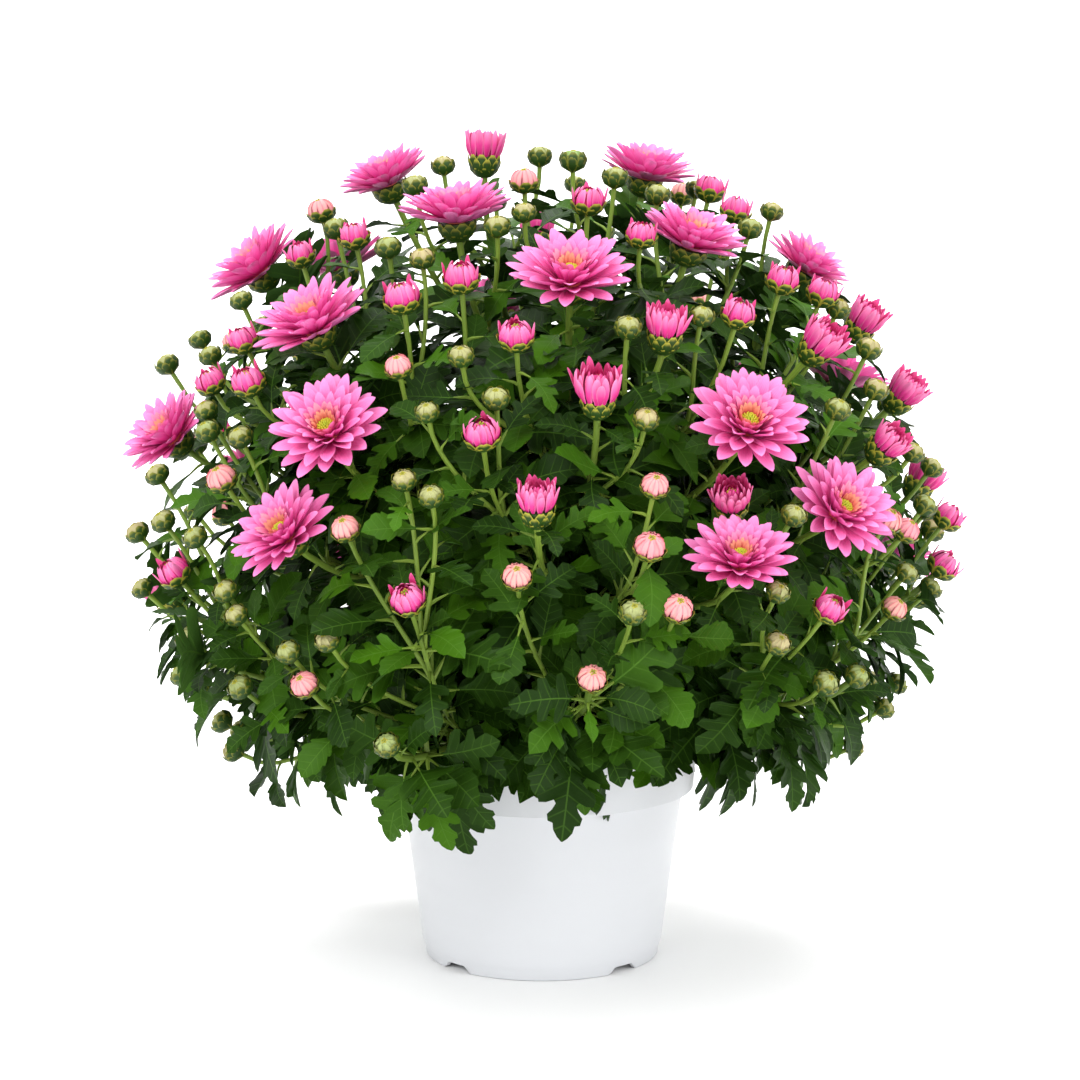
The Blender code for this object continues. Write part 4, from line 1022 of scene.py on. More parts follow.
def leaf_template(outline):
    """Points of a leaf from edge to rib to edge: shares of its length and signed shares of its width."""
    edge = np.asarray(outline)
    steps = RIB_STEP * np.arange(len(edge))
    rib = np.clip(edge[:, 0] - VEIN_SLANT * edge[:, 1], 0.0, 1.0)
    rib = np.maximum.accumulate(rib - steps) + steps
    rib[-1] = 1.0
    shares = np.stack([edge[:, 0], rib, edge[:, 0]], axis=1)
    return shares, edge[:, 1:] * (-1.0, 0.0, 1.0)


def leaf_templates(kinds):
    """The least size of each kind of leaf, with the kind's templates."""
    return [(least, [leaf_template(outline) for outline in outlines]) for least, outlines in kinds]


def add_leaf(batch, leaf, kinds, draw):
    """Lobed blade that folds up along its rib, bends down to its tip and waves at its edge."""
    templates = next(templates for least, templates in kinds if leaf.size >= least)
    shares, widths = templates[draw.integers(len(templates))]
    across = np.cross(leaf.heading, leaf.normal)
    length = LEAF_LENGTH * leaf.size
    width = LEAF_WIDTH * leaf.size * draw.uniform(*LEAF_WIDTHS)
    fold = draw.uniform(*LEAF_FOLDS)
    phase = draw.uniform(*ANY_TURN)
    twist = draw.uniform(*LEAF_TWISTS)
    wide = np.abs(widths)
    out = PETIOLE_LENGTH * leaf.size + shares * length * (1.0 - BEND_SHORTENING * leaf.bend * shares)
    rise = (fold - FOLD_EASE * fold * wide) * wide * width - leaf.bend * length * shares ** 2
    rise += twist * shares * widths * width
    rise += LEAF_WAVE * width * np.sin(LEAF_WAVES * shares + phase + np.sign(widths)) * (2.0 * wide) ** 2
    rise -= RIB_DEPTH * leaf.size * np.exp(-(wide / RIB_WIDTH) ** 2)
    sway = draw.uniform(*LEAF_SWAYS) * length * shares ** 2
    middle = (leaf.root + leaf.heading * out[:, :, None] + across * (widths * width + sway)[:, :, None]
              + leaf.normal * rise[:, :, None])
    tone = draw.uniform(0.0, 1.0)
    add_sheet(batch, middle, leaf.normal, FINE_LEAF_THICKNESS, widths * 2.0, shares, tone,
              (LEAF, LEAF_BACK))
    add_petiole(batch, leaf, tone)


def add_petiole(batch, leaf, tone):
    foot = leaf.root + leaf.heading * PETIOLE_LENGTH * leaf.size
    middle = 0.5 * (leaf.root + foot) + leaf.normal * PETIOLE_ARCH
    line = [leaf.root, middle, foot + leaf.heading * PETIOLE_OVERLAP]
    radius = FINE_PETIOLE_RADIUS * (PETIOLE_GROWTH[0] + PETIOLE_GROWTH[1] * leaf.size)
    tone = PETIOLE_TONES[0] + PETIOLE_TONES[1] * tone
    tube(batch, line, radius * np.array(PETIOLE_RADII), PETIOLE_SIDES, tone, STEM)


def varied(leaf, draw):
    """A planned leaf turned, tilted and bent a little, as no two are alike."""
    heading = unit(leaf.heading + HEADING_CHANCE * draw.normal(size=3))
    normal = square_to(leaf.normal + NORMAL_CHANCE * draw.normal(size=3), heading)
    size = PLANNED_LEAF_SCALE * leaf.size * draw.uniform(*SIZE_CHANCE)
    return Leaf(leaf.root, heading, normal, size, draw.uniform(*PLANNED_BENDS))


class Leafage:
    """Places leaves along stalks where they miss the heads, the pot and one another."""

    def __init__(self, heads, leaves):
        self.bases = np.array([head_middle(head) for head in heads])
        self.spaces = head_spaces(heads)
        lines = eye_frame()[0] - self.bases
        sights = lines / np.linalg.norm(lines, axis=1)[:, None]
        self.sights = (self.bases, sights, SHOWN_SHARE * np.array([head.radius for head in heads]))
        self.middles = [leaf_points(leaf).mean(axis=0) for leaf in leaves]

    def fits(self, leaf, reach):
        points = leaf_points(leaf)
        if not within_dome(points, *reach) or not clear_of_pot(points):
            return False
        if np.linalg.norm(points[:, None, :] - self.bases, axis=2).min() < HEAD_CLEARANCE:
            return False
        gaps = np.linalg.norm(np.array(self.middles) - points.mean(axis=0), axis=1)
        if gaps.min() < FINE_LEAF_SPACING * leaf.size:
            return False
        if in_space(points, self.spaces, *FACE_SPACE):
            return False
        return not in_space(points, self.sights, *SIGHT_SPACE)

    def grow(self, controls, growth, draw):
        """Leaves set round a stalk by the golden angle, their size changing towards its head."""
        (share, last), (foot_size, head_size), spacing, reach = growth
        length = curve_length(controls)
        leaves = []
        turn = draw.uniform(0.0, FULL_TURN)
        while share < last:
            root, way = bezier(controls, share)
            turn += GOLDEN_ANGLE
            size = foot_size + (head_size - foot_size) * share
            leaf = self.stalk_leaf(root, way, turn, size, reach, draw)
            if leaf is not None:
                leaves.append(leaf)
                self.middles.append(leaf_points(leaf).mean(axis=0))
            share += spacing * draw.uniform(*SPACING_CHANCE) / length
        return leaves

    def stalk_leaf(self, root, way, turn, size, reach, draw):
        """Leaf that leaves its stalk at a turn and faces out of the plant, as large as it fits."""
        side = unit(np.cross(way, SQUARE_TO))
        out = math.cos(turn) * side + math.sin(turn) * np.cross(way, side)
        lift = draw.uniform(*LEAF_LIFTS)
        droop = np.interp(root[2], DROOP_HEIGHTS[::-1], LEAF_DROOPS[::-1])
        light = to_light(root, LEAF_LIGHT, draw)
        heading = unit(out + lift * way - droop * UP)
        normal = square_to(unit(LEAF_WAY * way + light), heading)
        for shrink in LEAF_SHRINKS:
            own_size = size * shrink * draw.uniform(*SIZE_CHANCE)
            leaf = Leaf(root, heading, normal, own_size, draw.uniform(*STALK_BENDINGS))
            if leaf.size > SMALLEST_LEAF and self.fits(leaf, reach):
                return leaf
        return None


# Heads

def strap(batch, head, head_turn, place, turn, sizes, slopes, cup, shape, tone, slots):
    """Petal in a head's own frame, its slope changing along it, from a radius and height."""
    rows, columns = shape
    places = np.linspace(0.0, 1.0, len(PETAL_ROWS))
    along_it = np.interp(np.linspace(0.0, 1.0, rows), places, PETAL_ROWS)[:, None]
    across = np.linspace(-1.0, 1.0, columns)[None, :]
    length, width = sizes
    first, last, bulge = slopes
    slope = first + (last - first) * along_it + bulge * np.sin(math.pi * along_it)
    steps = np.diff(along_it, axis=0) * length
    middles = 0.5 * (slope[1:] + slope[:-1])
    out = place[0] + np.concatenate([[[0.0]], np.cumsum(steps * np.cos(middles), axis=0)])
    up = place[1] + np.concatenate([[[0.0]], np.cumsum(steps * np.sin(middles), axis=0)])
    half = 0.5 * width * strap_widths(along_it)
    lift = cup * half * (across ** 2 - STRAP_SINK)
    radial = out - lift * np.sin(slope)
    height = up + lift * np.cos(slope)
    side = -half * across
    cos, sin = math.cos(turn), math.sin(turn)
    points = np.stack([radial * cos - side * sin, radial * sin + side * cos, height], axis=-1)
    flat = np.zeros((rows, columns))
    inward = np.sin(slope) - flat
    normal = np.stack([-inward * cos, -inward * sin, flat + np.cos(slope)], axis=-1)
    points = placed(points, head.base, head.axis, head_turn)
    normal = placed(normal, 0.0, head.axis, head_turn)
    thickness = PETAL_THICKNESS * math.sqrt(width / WIDE_STRAP)
    add_sheet(batch, points, normal, thickness, flat + across, flat + along_it, tone, slots)


def strap_widths(along_it):
    """How wide a strap is along its length, by its greatest width."""
    widening = np.sin(0.5 * math.pi * np.clip(along_it / STRAP_WIDEST, 0.0, 1.0))
    past = np.clip(along_it - STRAP_NARROWS, 0.0, 1.0) / STRAP_NARROWS
    tip = np.clip(1.0 - past ** STRAP_TIP[0], 0.01, 1.0) ** STRAP_TIP[1]
    return (STRAP_FOOT + (1.0 - STRAP_FOOT) * widening) * tip


def add_rings(batch, head, head_turn, rings, slots, draw):
    """Rings of straps round a head's axis, no two quite alike."""
    turns, lengths, widths, leans, bends, tones, cups = RING_CHANCE
    size = head.radius
    for number, ring in enumerate(rings):
        count, start, height, length, width, first, last, bulge, cup, tone, rows, columns = ring
        for index in range(count):
            turn = FULL_TURN * (index + RING_TURN * number + draw.uniform(*turns)) / count
            sizes = (length * size * draw.uniform(*lengths), width * size * draw.uniform(*widths))
            lean = draw.uniform(*leans)
            slopes = np.radians((first + lean, last + lean + draw.uniform(*bends), bulge))
            own_tone = np.clip(tone + draw.uniform(*tones), 0.0, 1.0)
            strap(batch, head, head_turn, (start * size, height * size), turn, sizes, slopes,
                  cup * draw.uniform(*cups), (rows, columns), own_tone, slots)


def add_florets(batch, head, head_turn, radius, height, count, slot):
    """Disc of small pointed florets, set out by the golden angle, its sizes by the head's radius."""
    radius, height = radius * head.radius, height * head.radius
    size = FLORET_SIZE * radius / math.sqrt(count)
    turns = ring_turns(FLORET_SIDES)
    ring = size * np.stack([np.cos(turns), np.sin(turns), np.zeros(FLORET_SIDES)], axis=1)
    tip, rim, foot = size * np.array(FLORET_HEIGHTS)[:, None] * UP
    shape = np.concatenate([[tip], ring + rim, FLORET_FOOT * ring + foot])
    order = np.arange(FLORET_SIDES)
    after = (order + 1) % FLORET_SIDES
    under = 1 + FLORET_SIDES
    faces = np.concatenate([
        np.stack([0 * order, 1 + order, 1 + after], axis=1),
        np.stack([1 + order, under + order, under + after], axis=1),
        np.stack([1 + order, under + after, 1 + after], axis=1),
        [(under, under + index + 1, under + index) for index in range(1, FLORET_SIDES - 1)]])
    for index in range(count):
        away = math.sqrt((index + 0.5) / count)
        turn = GOLDEN_ANGLE * index
        middle = np.array((radius * away * math.cos(turn), radius * away * math.sin(turn),
                           height + DISC_RISE * radius * (1.0 - away ** 2)))
        batch.add(placed(middle + shape, head.base, head.axis, head_turn), faces, 0.0, away, 0.5, slot)


def add_turned(batch, head, profile, steps, tone, slot):
    """Closed turned solid on a head's axis."""
    points, faces = closed_rings(turned_points(profile, steps))
    batch.add(placed(points, head.base, head.axis), faces, 0.0, 0.5, tone, slot)


def add_bloom(batch, head, head_turn, draw):
    """Open bloom: rings of petals that stand steeper and shorter towards the disc."""
    add_rings(batch, head, head_turn, BLOOM_RINGS, (PETAL, PETAL_BACK), draw)
    add_turned(batch, head, np.array(HEART_CORE) * head.radius, BUD_STEPS, 1.0, PETAL)
    add_florets(batch, head, head_turn, DISC_RADIUS, DISC_HEIGHT, DISC_FLORETS, DISC)


def add_half_bloom(batch, head, head_turn, draw):
    """Crown of upright petals, the inner ones bent in over a middle with a few florets."""
    add_rings(batch, head, head_turn, CROWN_RINGS, (CROWN, CROWN_BACK), draw)
    add_turned(batch, head, np.array(CROWN_CORE) * head.radius, CROWN_STEPS, 0.0, CROWN)
    add_florets(batch, head, head_turn, *CROWN_PIT, PIT_FLORETS, DISC)


def scale_row(batch, head, profile, row, reach, tone, draw):
    """Row of overlapping green scales that hug a turned profile from its foot up to a share of it."""
    count, width, turn = row
    along_it = np.array(SCALE_ROWS)[:, None]
    across = np.array((-1.0, 0.0, 1.0))[None, :]
    shares = SCALE_FROM + (reach - SCALE_FROM) * along_it
    steps = np.linspace(0.0, 1.0, len(profile))
    radius = np.interp(shares, steps, profile[:, 0])
    height = np.interp(shares, steps, profile[:, 1])
    narrowing = np.array(SCALE_WIDTHS)[:, None]
    lift = SCALE_LIFT * (SCALE_RISE[0] + SCALE_RISE[1] * along_it)
    lift = lift * (SCALE_CROWN[0] - SCALE_CROWN[1] * across ** 2)
    flat = np.zeros((len(SCALE_ROWS), 3))
    for index in range(count):
        middle = FULL_TURN * (index + turn + draw.uniform(-SCALE_CHANCE, SCALE_CHANCE)) / count
        angle = middle + across * narrowing * width * math.pi / count
        away = radius + lift
        points = np.stack([away * np.cos(angle), away * np.sin(angle), flat + height], axis=-1)
        normal = np.stack([np.cos(angle), np.sin(angle), flat], axis=-1)
        add_sheet(batch, placed(points, head.base, head.axis), placed(normal, 0.0, head.axis),
                  SCALE_THICKNESS, flat + across, flat + along_it, tone, (SCALE, SCALE))


def add_bud(batch, head, draw):
    """Globe of petals that are shut or part at the top, standing in two rows of scales."""
    parted = head.tint > PARTED_FROM
    if parted:
        head = head._replace(radius=PARTED_GROWTH * head.radius)
        add_turned(batch, head, np.array(PARTED_CORE) * head.radius, BUD_STEPS, 1.0, CROWN_FINE)
        add_rings(batch, head, 0.0, PARTED_RINGS, (CROWN_FINE, CROWN_BACK_FINE), draw)
    else:
        core = globe(BUD_CORE_SPAN, BUD_CORE)
        add_turned(batch, head, core * head.radius, BUD_STEPS, head.tint, BUD)
        add_bud_petals(batch, head, draw)
    add_florets(batch, head, 0.0, PIT_RADIUS, PIT_HEIGHTS[int(parted)], PIT_FLORETS, PIT)
    profile = globe(SCALE_SPAN, SCALE_GIRTHS[int(parted)]) * head.radius
    for count, width, turn, green_reach, reach in BUD_SCALES:
        share = green_reach + (reach - green_reach) * min(1.0, SCALES_DRAWN_DOWN * head.tint)
        scale_row(batch, head, profile, (count, width, turn), share, head.tint, draw)


def globe(span, girth):
    """Profile of a globe about a point one radius up, over a span of angles from its foot."""
    angles = np.radians(np.linspace(*span))
    return np.stack([girth * np.sin(angles), 1.0 - girth * np.cos(angles)], axis=1)


def add_bud_petals(batch, head, draw):
    """Petals shut over a bud, all in the bud's own tint."""
    count, start, height, length, width, first, last, bulge, cup, _, rows, columns = SHUT_RING
    turns, lengths, bends = SHUT_CHANCE
    for index in range(count):
        turn = FULL_TURN * (index + draw.uniform(*turns)) / count
        sizes = (length * head.radius * draw.uniform(*lengths), width * head.radius)
        slopes = np.radians((first, last + draw.uniform(*bends), bulge))
        strap(batch, head, 0.0, (start * head.radius, height * head.radius), turn, sizes, slopes, -cup,
              (rows, columns), head.tint, (BUD, BUD))


def add_cup(batch, head, draw):
    """Green cup under a flower: a turned bowl with three rows of scales."""
    profile = np.array(CUP_PROFILE) * CUP_SIZES[head.kind]
    depth = CUP_SIZES[head.kind][1]
    add_turned(batch, head, profile * (CUP_INSIDE, 1.0) - (0.0, CUP_DROP * depth), CUP_STEPS, 0.0, SCALE)
    for count, width, turn, reach in CUP_SCALES:
        scale_row(batch, head, profile, (count, width, turn), reach, CUP_BRIGHTNESS[head.kind], draw)


# Pieces

def stalk_line(branch):
    head = branch.head
    points = curve_points(branch.controls, FINE_STALK_POINTS)
    sink = 0.5 * head.radius if head.kind == "bud" else -STALK_SINK
    return np.concatenate([points[:-1], [points[-1] + head.axis * sink]])


def add_stem(batch, spray, draw):
    """Main stem from the bottom of its hole to its head, thinner upwards."""
    points = stalk_line(spray.branches[0])
    foot = stem_foot(spray.stem.direction) - (0.0, 0.0, HOLE_DEPTH - GAP)
    line = np.concatenate([[foot], points])
    radii = np.linspace(STEM_RADIUS, STALK_RADIUS, len(line))
    tube(batch, line, radii, STALK_SIDES, draw.uniform(*STEM_TONES), STEM)


def add_stalk(batch, branch, draw):
    thick = BUD_STALK_RADIUS if branch.head.kind == "bud" else STALK_RADIUS
    line = stalk_line(branch)
    radii = thick * np.linspace(*STALK_TAPER, len(line))
    radii[-1] *= STALK_FLARE
    tube(batch, line, radii, STALK_SIDES, draw.uniform(*STALK_TONES), STEM)


def extra_places(draw):
    """Places, kinds and margins of the finer model's own buds, the front's and then the back's."""
    for kind, places in EXTRA_BUDS.items():
        for across, down in places:
            yield on_dome(across, down), kind, FRONT_MARGIN
    for index in range(BACK_EXTRA):
        turn = draw.uniform(-BACK_WIDTH, BACK_WIDTH)
        lean = math.acos(draw.uniform(math.cos(BACK_REACH), 1.0))
        yield dome_point(turn, lean), BACK_KINDS[index % len(BACK_KINDS)], BACK_MARGIN


def extra_heads(heads):
    """Buds that only this finer model holds, each where it is clear of all that are there."""
    draw = np.random.default_rng(EXTRA_SEED)
    added = []
    for place, kind, margin in extra_places(draw):
        radius = EXTRA_RADII[kind] * draw.uniform(*EXTRA_SIZES)
        axis = outward(place)
        tint = TINTS[kind] + TINT_SPREADS[kind] * draw.uniform(0.0, 1.0)
        head = set_head("bud", place, axis, radius, tint)
        middles = np.array([head_middle(other) for other in heads + added])
        reach = np.array([other.radius for other in heads + added])
        if (np.linalg.norm(middles - head.base, axis=1) > reach + radius + margin).all():
            added.append(head)
    return added


def fork_places(branches):
    """Places along branches where more stalks can fork off, and the branches' ways there."""
    forks = [bezier(branch.controls, share) for branch in branches for share in FORK_SHARES]
    return np.array([place for place, _ in forks]), np.array([way for _, way in forks])


def forked_stalk(head, places, ways):
    """Long, nearly straight stalk from a place well below the bud, along the bud's own axis."""
    offsets = head.base - places
    reach = np.linalg.norm(offsets, axis=1)
    with_stalk = (offsets * ways).sum(axis=1) / reach
    with_head = offsets @ head.axis / reach
    bends = np.maximum(0.0, FORK_STRAIGHT - with_stalk) + np.maximum(0.0, FORK_STRAIGHT - with_head)
    best = int(np.argmin(bends + FORK_PULL * np.abs(reach - FORK_REACH)))
    return Branch(stalk_controls(places[best], ways[best], head, FORK_BENDS), head)


# Materials

class Shader:
    """A material with short calls for the nodes that these materials use."""

    def __init__(self, name, roughness, specular=0.5):
        self.material = bpy.data.materials.new(name)
        self.material.use_nodes = True
        self.tree = self.material.node_tree
        self.surface = self.tree.nodes["Principled BSDF"]
        self.surface.inputs["Roughness"].default_value = roughness
        self.surface.inputs["Specular IOR Level"].default_value = specular

    def node(self, kind, inputs, **settings):
        made = self.tree.nodes.new(kind)
        for key, value in settings.items():
            setattr(made, key, value)
        for key, value in inputs.items():
            if isinstance(value, bpy.types.NodeSocket):
                self.tree.links.new(value, made.inputs[key])
            else:
                made.inputs[key].default_value = value
        return made

    def growth(self):
        """Across, along and tone, as the mesh holds them."""
        attribute = self.node("ShaderNodeAttribute", {}, attribute_name="growth")
        split = self.node("ShaderNodeSeparateXYZ", {0: attribute.outputs["Vector"]})
        return split.outputs[0], split.outputs[1], split.outputs[2]

    def math(self, operation, *values):
        return self.node("ShaderNodeMath", dict(enumerate(values)), operation=operation).outputs[0]

    def times(self, first, second):
        return self.math("MULTIPLY", first, second)

    def less(self, first, second):
        return self.math("SUBTRACT", first, second)

    def side(self, across):
        return self.math("ABSOLUTE", across)

    def lines(self, across, count):
        """Ridges along a leaf, petal or stalk, from 0 in their grooves to 0.5."""
        return self.math("PINGPONG", self.times(across, count), 0.5)

    def fading(self, share, amount):
        """1 at the foot, less towards the tip."""
        return self.less(1.0, self.times(share, amount))

    def steps(self, value, low, high):
        """0 below low, 1 above high, smooth between."""
        inputs = {"Value": value, "From Min": low, "From Max": high}
        return self.node("ShaderNodeMapRange", inputs, interpolation_type="SMOOTHSTEP").outputs[0]

    def mix(self, share, first, second, strength=None):
        """From the first colour to the second by a share, which the strength weakens."""
        inputs = {"Factor": share if strength is None else self.times(share, strength)}
        for key, value in ((6, first), (7, second)):
            inputs[key] = value if isinstance(value, bpy.types.NodeSocket) else (*value, 1.0)
        return self.node("ShaderNodeMix", inputs, data_type="RGBA").outputs[2]

    def noise(self, scale, detail=2.0, stretch=(1.0, 1.0, 1.0)):
        place = self.node("ShaderNodeTexCoord", {}).outputs["Object"]
        if stretch != (1.0, 1.0, 1.0):
            place = self.node("ShaderNodeMapping", {"Vector": place, "Scale": stretch}).outputs[0]
        inputs = {"Vector": place, "Scale": scale, "Detail": detail}
        return self.node("ShaderNodeTexNoise", inputs).outputs["Fac"]

    def ramp(self, value, *stops):
        made = self.node("ShaderNodeValToRGB", {"Fac": value})
        elements = made.color_ramp.elements
        while len(elements) < len(stops):
            elements.new(0.5)
        for element, (place, colour) in zip(elements, stops):
            element.position = place
            element.color = (*colour, 1.0)
        return made.outputs["Color"]

    def bump(self, height, strength, distance):
        inputs = {"Height": height, "Strength": strength, "Distance": distance}
        made = self.node("ShaderNodeBump", inputs)
        self.tree.links.new(made.outputs[0], self.surface.inputs["Normal"])

    def roughness(self, value, low, high):
        inputs = {"Value": value, "To Min": low, "To Max": high}
        made = self.node("ShaderNodeMapRange", inputs)
        self.tree.links.new(made.outputs[0], self.surface.inputs["Roughness"])

    def finish(self, colour):
        self.tree.links.new(colour, self.surface.inputs["Base Color"])
        return self.material


def leaf_material(name, dark, bright, roughness):
    """Green blade with a paler rib, side veins and edge, some leaves brighter than others."""
    shader = Shader(name, roughness, specular=0.11)
    across, share, tone = shader.growth()
    wide = shader.side(across)
    blade = shader.mix(shader.math("POWER", tone, 2.2), dark, bright)
    blade = shader.mix(shader.noise(45.0, detail=3.0), blade, dark, strength=0.55)
    slant = shader.less(share, shader.times(wide, 0.5 * VEIN_SLANT))
    side_vein = shader.less(1.0, shader.steps(shader.lines(slant, VEIN_COUNT), low=0.0, high=0.10))
    side_vein = shader.times(side_vein, shader.less(1.0, wide))
    rib = shader.less(1.0, shader.steps(wide, low=0.008, high=0.035))
    rib = shader.times(rib, shader.fading(share, amount=0.7))
    veins = shader.math("MAXIMUM", rib, shader.times(side_vein, 0.4))
    blade = shader.mix(veins, blade, LEAF_VEIN, strength=0.75)
    blade = shader.mix(shader.steps(wide, low=0.7, high=1.1), blade, LEAF_VEIN, strength=0.25)
    height = shader.less(shader.noise(420.0), shader.times(veins, 0.9))
    shader.bump(height, strength=0.35, distance=0.0006)
    shader.roughness(shader.noise(140.0), low=roughness - 0.12, high=roughness + 0.12)
    return shader.finish(blade)


def stem_material():
    """Ridged olive-green skin, darker on some stalks and in blotches."""
    shader = Shader("stem_skin", roughness=0.5, specular=0.35)
    across, _, tone = shader.growth()
    green = shader.mix(tone, STEM_DARK, STEM_PALE)
    green = shader.mix(shader.noise(90.0, detail=3.0), green, STEM_PALE, strength=0.45)
    ridges = shader.lines(across, count=1.5)
    green = shader.mix(ridges, green, STEM_DARK, strength=0.5)
    shader.bump(shader.math("ADD", ridges, shader.noise(300.0)), strength=0.3, distance=0.0004)
    return shader.finish(green)


def petal_material(name, base, middle, tip, heart_base, heart_tip):
    """Petal that pales to its tip and edges, finely lined, and warmer in the heart."""
    shader = Shader(name, roughness=0.5, specular=0.3)
    across, share, tone = shader.growth()
    pink = shader.ramp(share, (0.0, base), (0.45, middle), (0.95, tip), (1.0, tip))
    pink = shader.mix(shader.steps(shader.side(across), low=0.45, high=1.05), pink, tip, strength=0.6)
    heart = shader.ramp(share, (0.0, heart_base), (0.3, heart_base), (0.8, heart_tip), (1.0, heart_tip))
    colour = shader.mix(shader.steps(tone, low=0.40, high=0.95), pink, heart)
    lines = shader.lines(across, count=3.5)
    colour = shader.mix(shader.times(lines, shader.fading(share, amount=0.7)), colour, base, strength=0.6)
    shader.bump(lines, strength=0.35, distance=0.0004)
    return shader.finish(colour)


def scale_material():
    """Green scales with yellowish edges, brighter on the riper heads."""
    shader = Shader("bud_scale", roughness=0.5, specular=0.35)
    across, share, tone = shader.growth()
    edge = shader.math("MAXIMUM", shader.steps(shader.side(across), low=0.62, high=0.98),
                       shader.steps(share, low=0.82, high=1.0))
    green = shader.mix(shader.noise(120.0), SCALE_DARK, SCALE_GREEN)
    bright = shader.times(edge, shader.math("ADD", shader.times(tone, 0.55), 0.35))
    shader.bump(shader.noise(500.0), strength=0.3, distance=0.0004)
    return shader.finish(shader.mix(bright, green, SCALE_EDGE))


def bud_material():
    """Folded petals from green through peach to rose, darker at their edges."""
    shader = Shader("bud_petal", roughness=0.5, specular=0.3)
    across, _, tint = shader.growth()
    colour = shader.ramp(tint, (0.0, BUD_GREEN), (0.5, BUD_PEACH), (1.0, BUD_ROSE))
    folds = shader.steps(shader.side(across), low=0.45, high=1.0)
    folds = shader.times(folds, shader.steps(tint, low=0.05, high=0.5))
    colour = shader.mix(folds, colour, BUD_FOLD, strength=0.7)
    streaks = shader.noise(350.0, stretch=(1.0, 1.0, 0.4))
    streaks = shader.times(streaks, shader.steps(tint, low=0.2, high=0.6))
    colour = shader.mix(streaks, colour, BUD_ROSE, strength=0.35)
    shader.bump(shader.noise(600.0), strength=0.2, distance=0.0003)
    return shader.finish(colour)


def disc_material(name, green, yellow):
    """Florets that turn from green in the middle to yellow at the rim."""
    shader = Shader(name, roughness=0.6, specular=0.3)
    _, share, _ = shader.growth()
    return shader.finish(shader.mix(share, green, yellow))


def pot_material():
    """Moulded white plastic: a faint orange-peel skin with soft scuffs."""
    shader = Shader("pot_plastic", roughness=0.4, specular=0.5)
    scuffs = shader.noise(30.0, detail=4.0, stretch=(1.0, 1.0, 3.0))
    shader.roughness(scuffs, low=0.3, high=0.5)
    shader.bump(shader.noise(700.0, detail=3.0), strength=0.12, distance=0.0003)
    return shader.finish(shader.mix(scuffs, POT_WHITE, POT_SHADE, strength=0.5))


def soil_material():
    """Dark crumbly mix with paler bits of bark."""
    shader = Shader("soil_crumb", roughness=0.95, specular=0.2)
    _, _, tone = shader.growth()
    brown = shader.mix(shader.noise(260.0, detail=4.0), SOIL_DARK, SOIL_BROWN)
    shader.bump(shader.noise(900.0, detail=4.0), strength=0.7, distance=0.0008)
    return shader.finish(shader.mix(tone, brown, SOIL_BARK, strength=0.5))


def floor_material():
    shader = Shader("pale_floor", roughness=0.7, specular=0.2)
    return shader.finish(shader.mix(shader.noise(3.0), FLOOR_PALE, FLOOR_PALER))


# Pieces of the plant

def make_sprays(sprays, extra, materials):
    """One piece for each spray: its stem, stalks, leaves, buds and cups."""
    heads = [branch.head for spray in sprays for branch in spray.branches]
    heads += [branch.head for _, branch in extra]
    leafage = Leafage(heads, [leaf for spray in sprays for leaf in spray.leaves])
    kinds, inner_kinds = leaf_templates(LEAF_KINDS), leaf_templates(INNER_KINDS)
    for index, spray in enumerate(sprays):
        draw = np.random.default_rng(FINE_SEED + index)
        batch = Batch()
        mine = [branch for owner, branch in extra if owner == index]
        stalks = spray.branches[1:] + mine
        add_stem(batch, spray, draw)
        for branch in stalks:
            add_stalk(batch, branch, draw)
        leaves = [varied(leaf, draw) for leaf in spray.leaves]
        leaves += leafage.grow(spray.branches[0].controls, STEM_GROWTH, draw)
        for branch in stalks:
            leaves += leafage.grow(branch.controls, STALK_GROWTH, draw)
        for leaf in leaves:
            add_leaf(batch, leaf, kinds, draw)
        for branch in spray.branches:
            for leaf in leafage.grow(branch.controls, INNER_GROWTH, draw):
                add_leaf(batch, leaf, inner_kinds, draw)
        for branch in spray.branches[:1] + stalks:
            add_head = add_bud if branch.head.kind == "bud" else add_cup
            add_head(batch, branch.head, draw)
        name = f"spray_{index + 1:02d}"
        make_piece(name + "_fine", batch, materials, "green", name)


def make_flowers(sprays, materials):
    heads = [branch.head for spray in sprays for branch in spray.branches]
    for kind, add, slot in (("bloom", add_bloom, "petals"), ("half_bloom", add_half_bloom, "half_petals")):
        for index, head in enumerate(head for head in heads if head.kind == kind):
            name = f"{kind}_{index + 1:02d}"
            batch = Batch()
            add(batch, head, FLOWER_TURN * index, np.random.default_rng(FLOWER_SEED + index))
            make_piece(name + "_fine", batch, materials, slot, name)


# Pot and soil

def arc(middle, radius, first, last, steps):
    """Points of an arc in a turned profile, its angles in degrees from outwards."""
    angles = np.radians(np.linspace(first, last, steps))
    return [(middle[0] + radius * math.cos(angle), middle[1] + radius * math.sin(angle))
            for angle in angles]


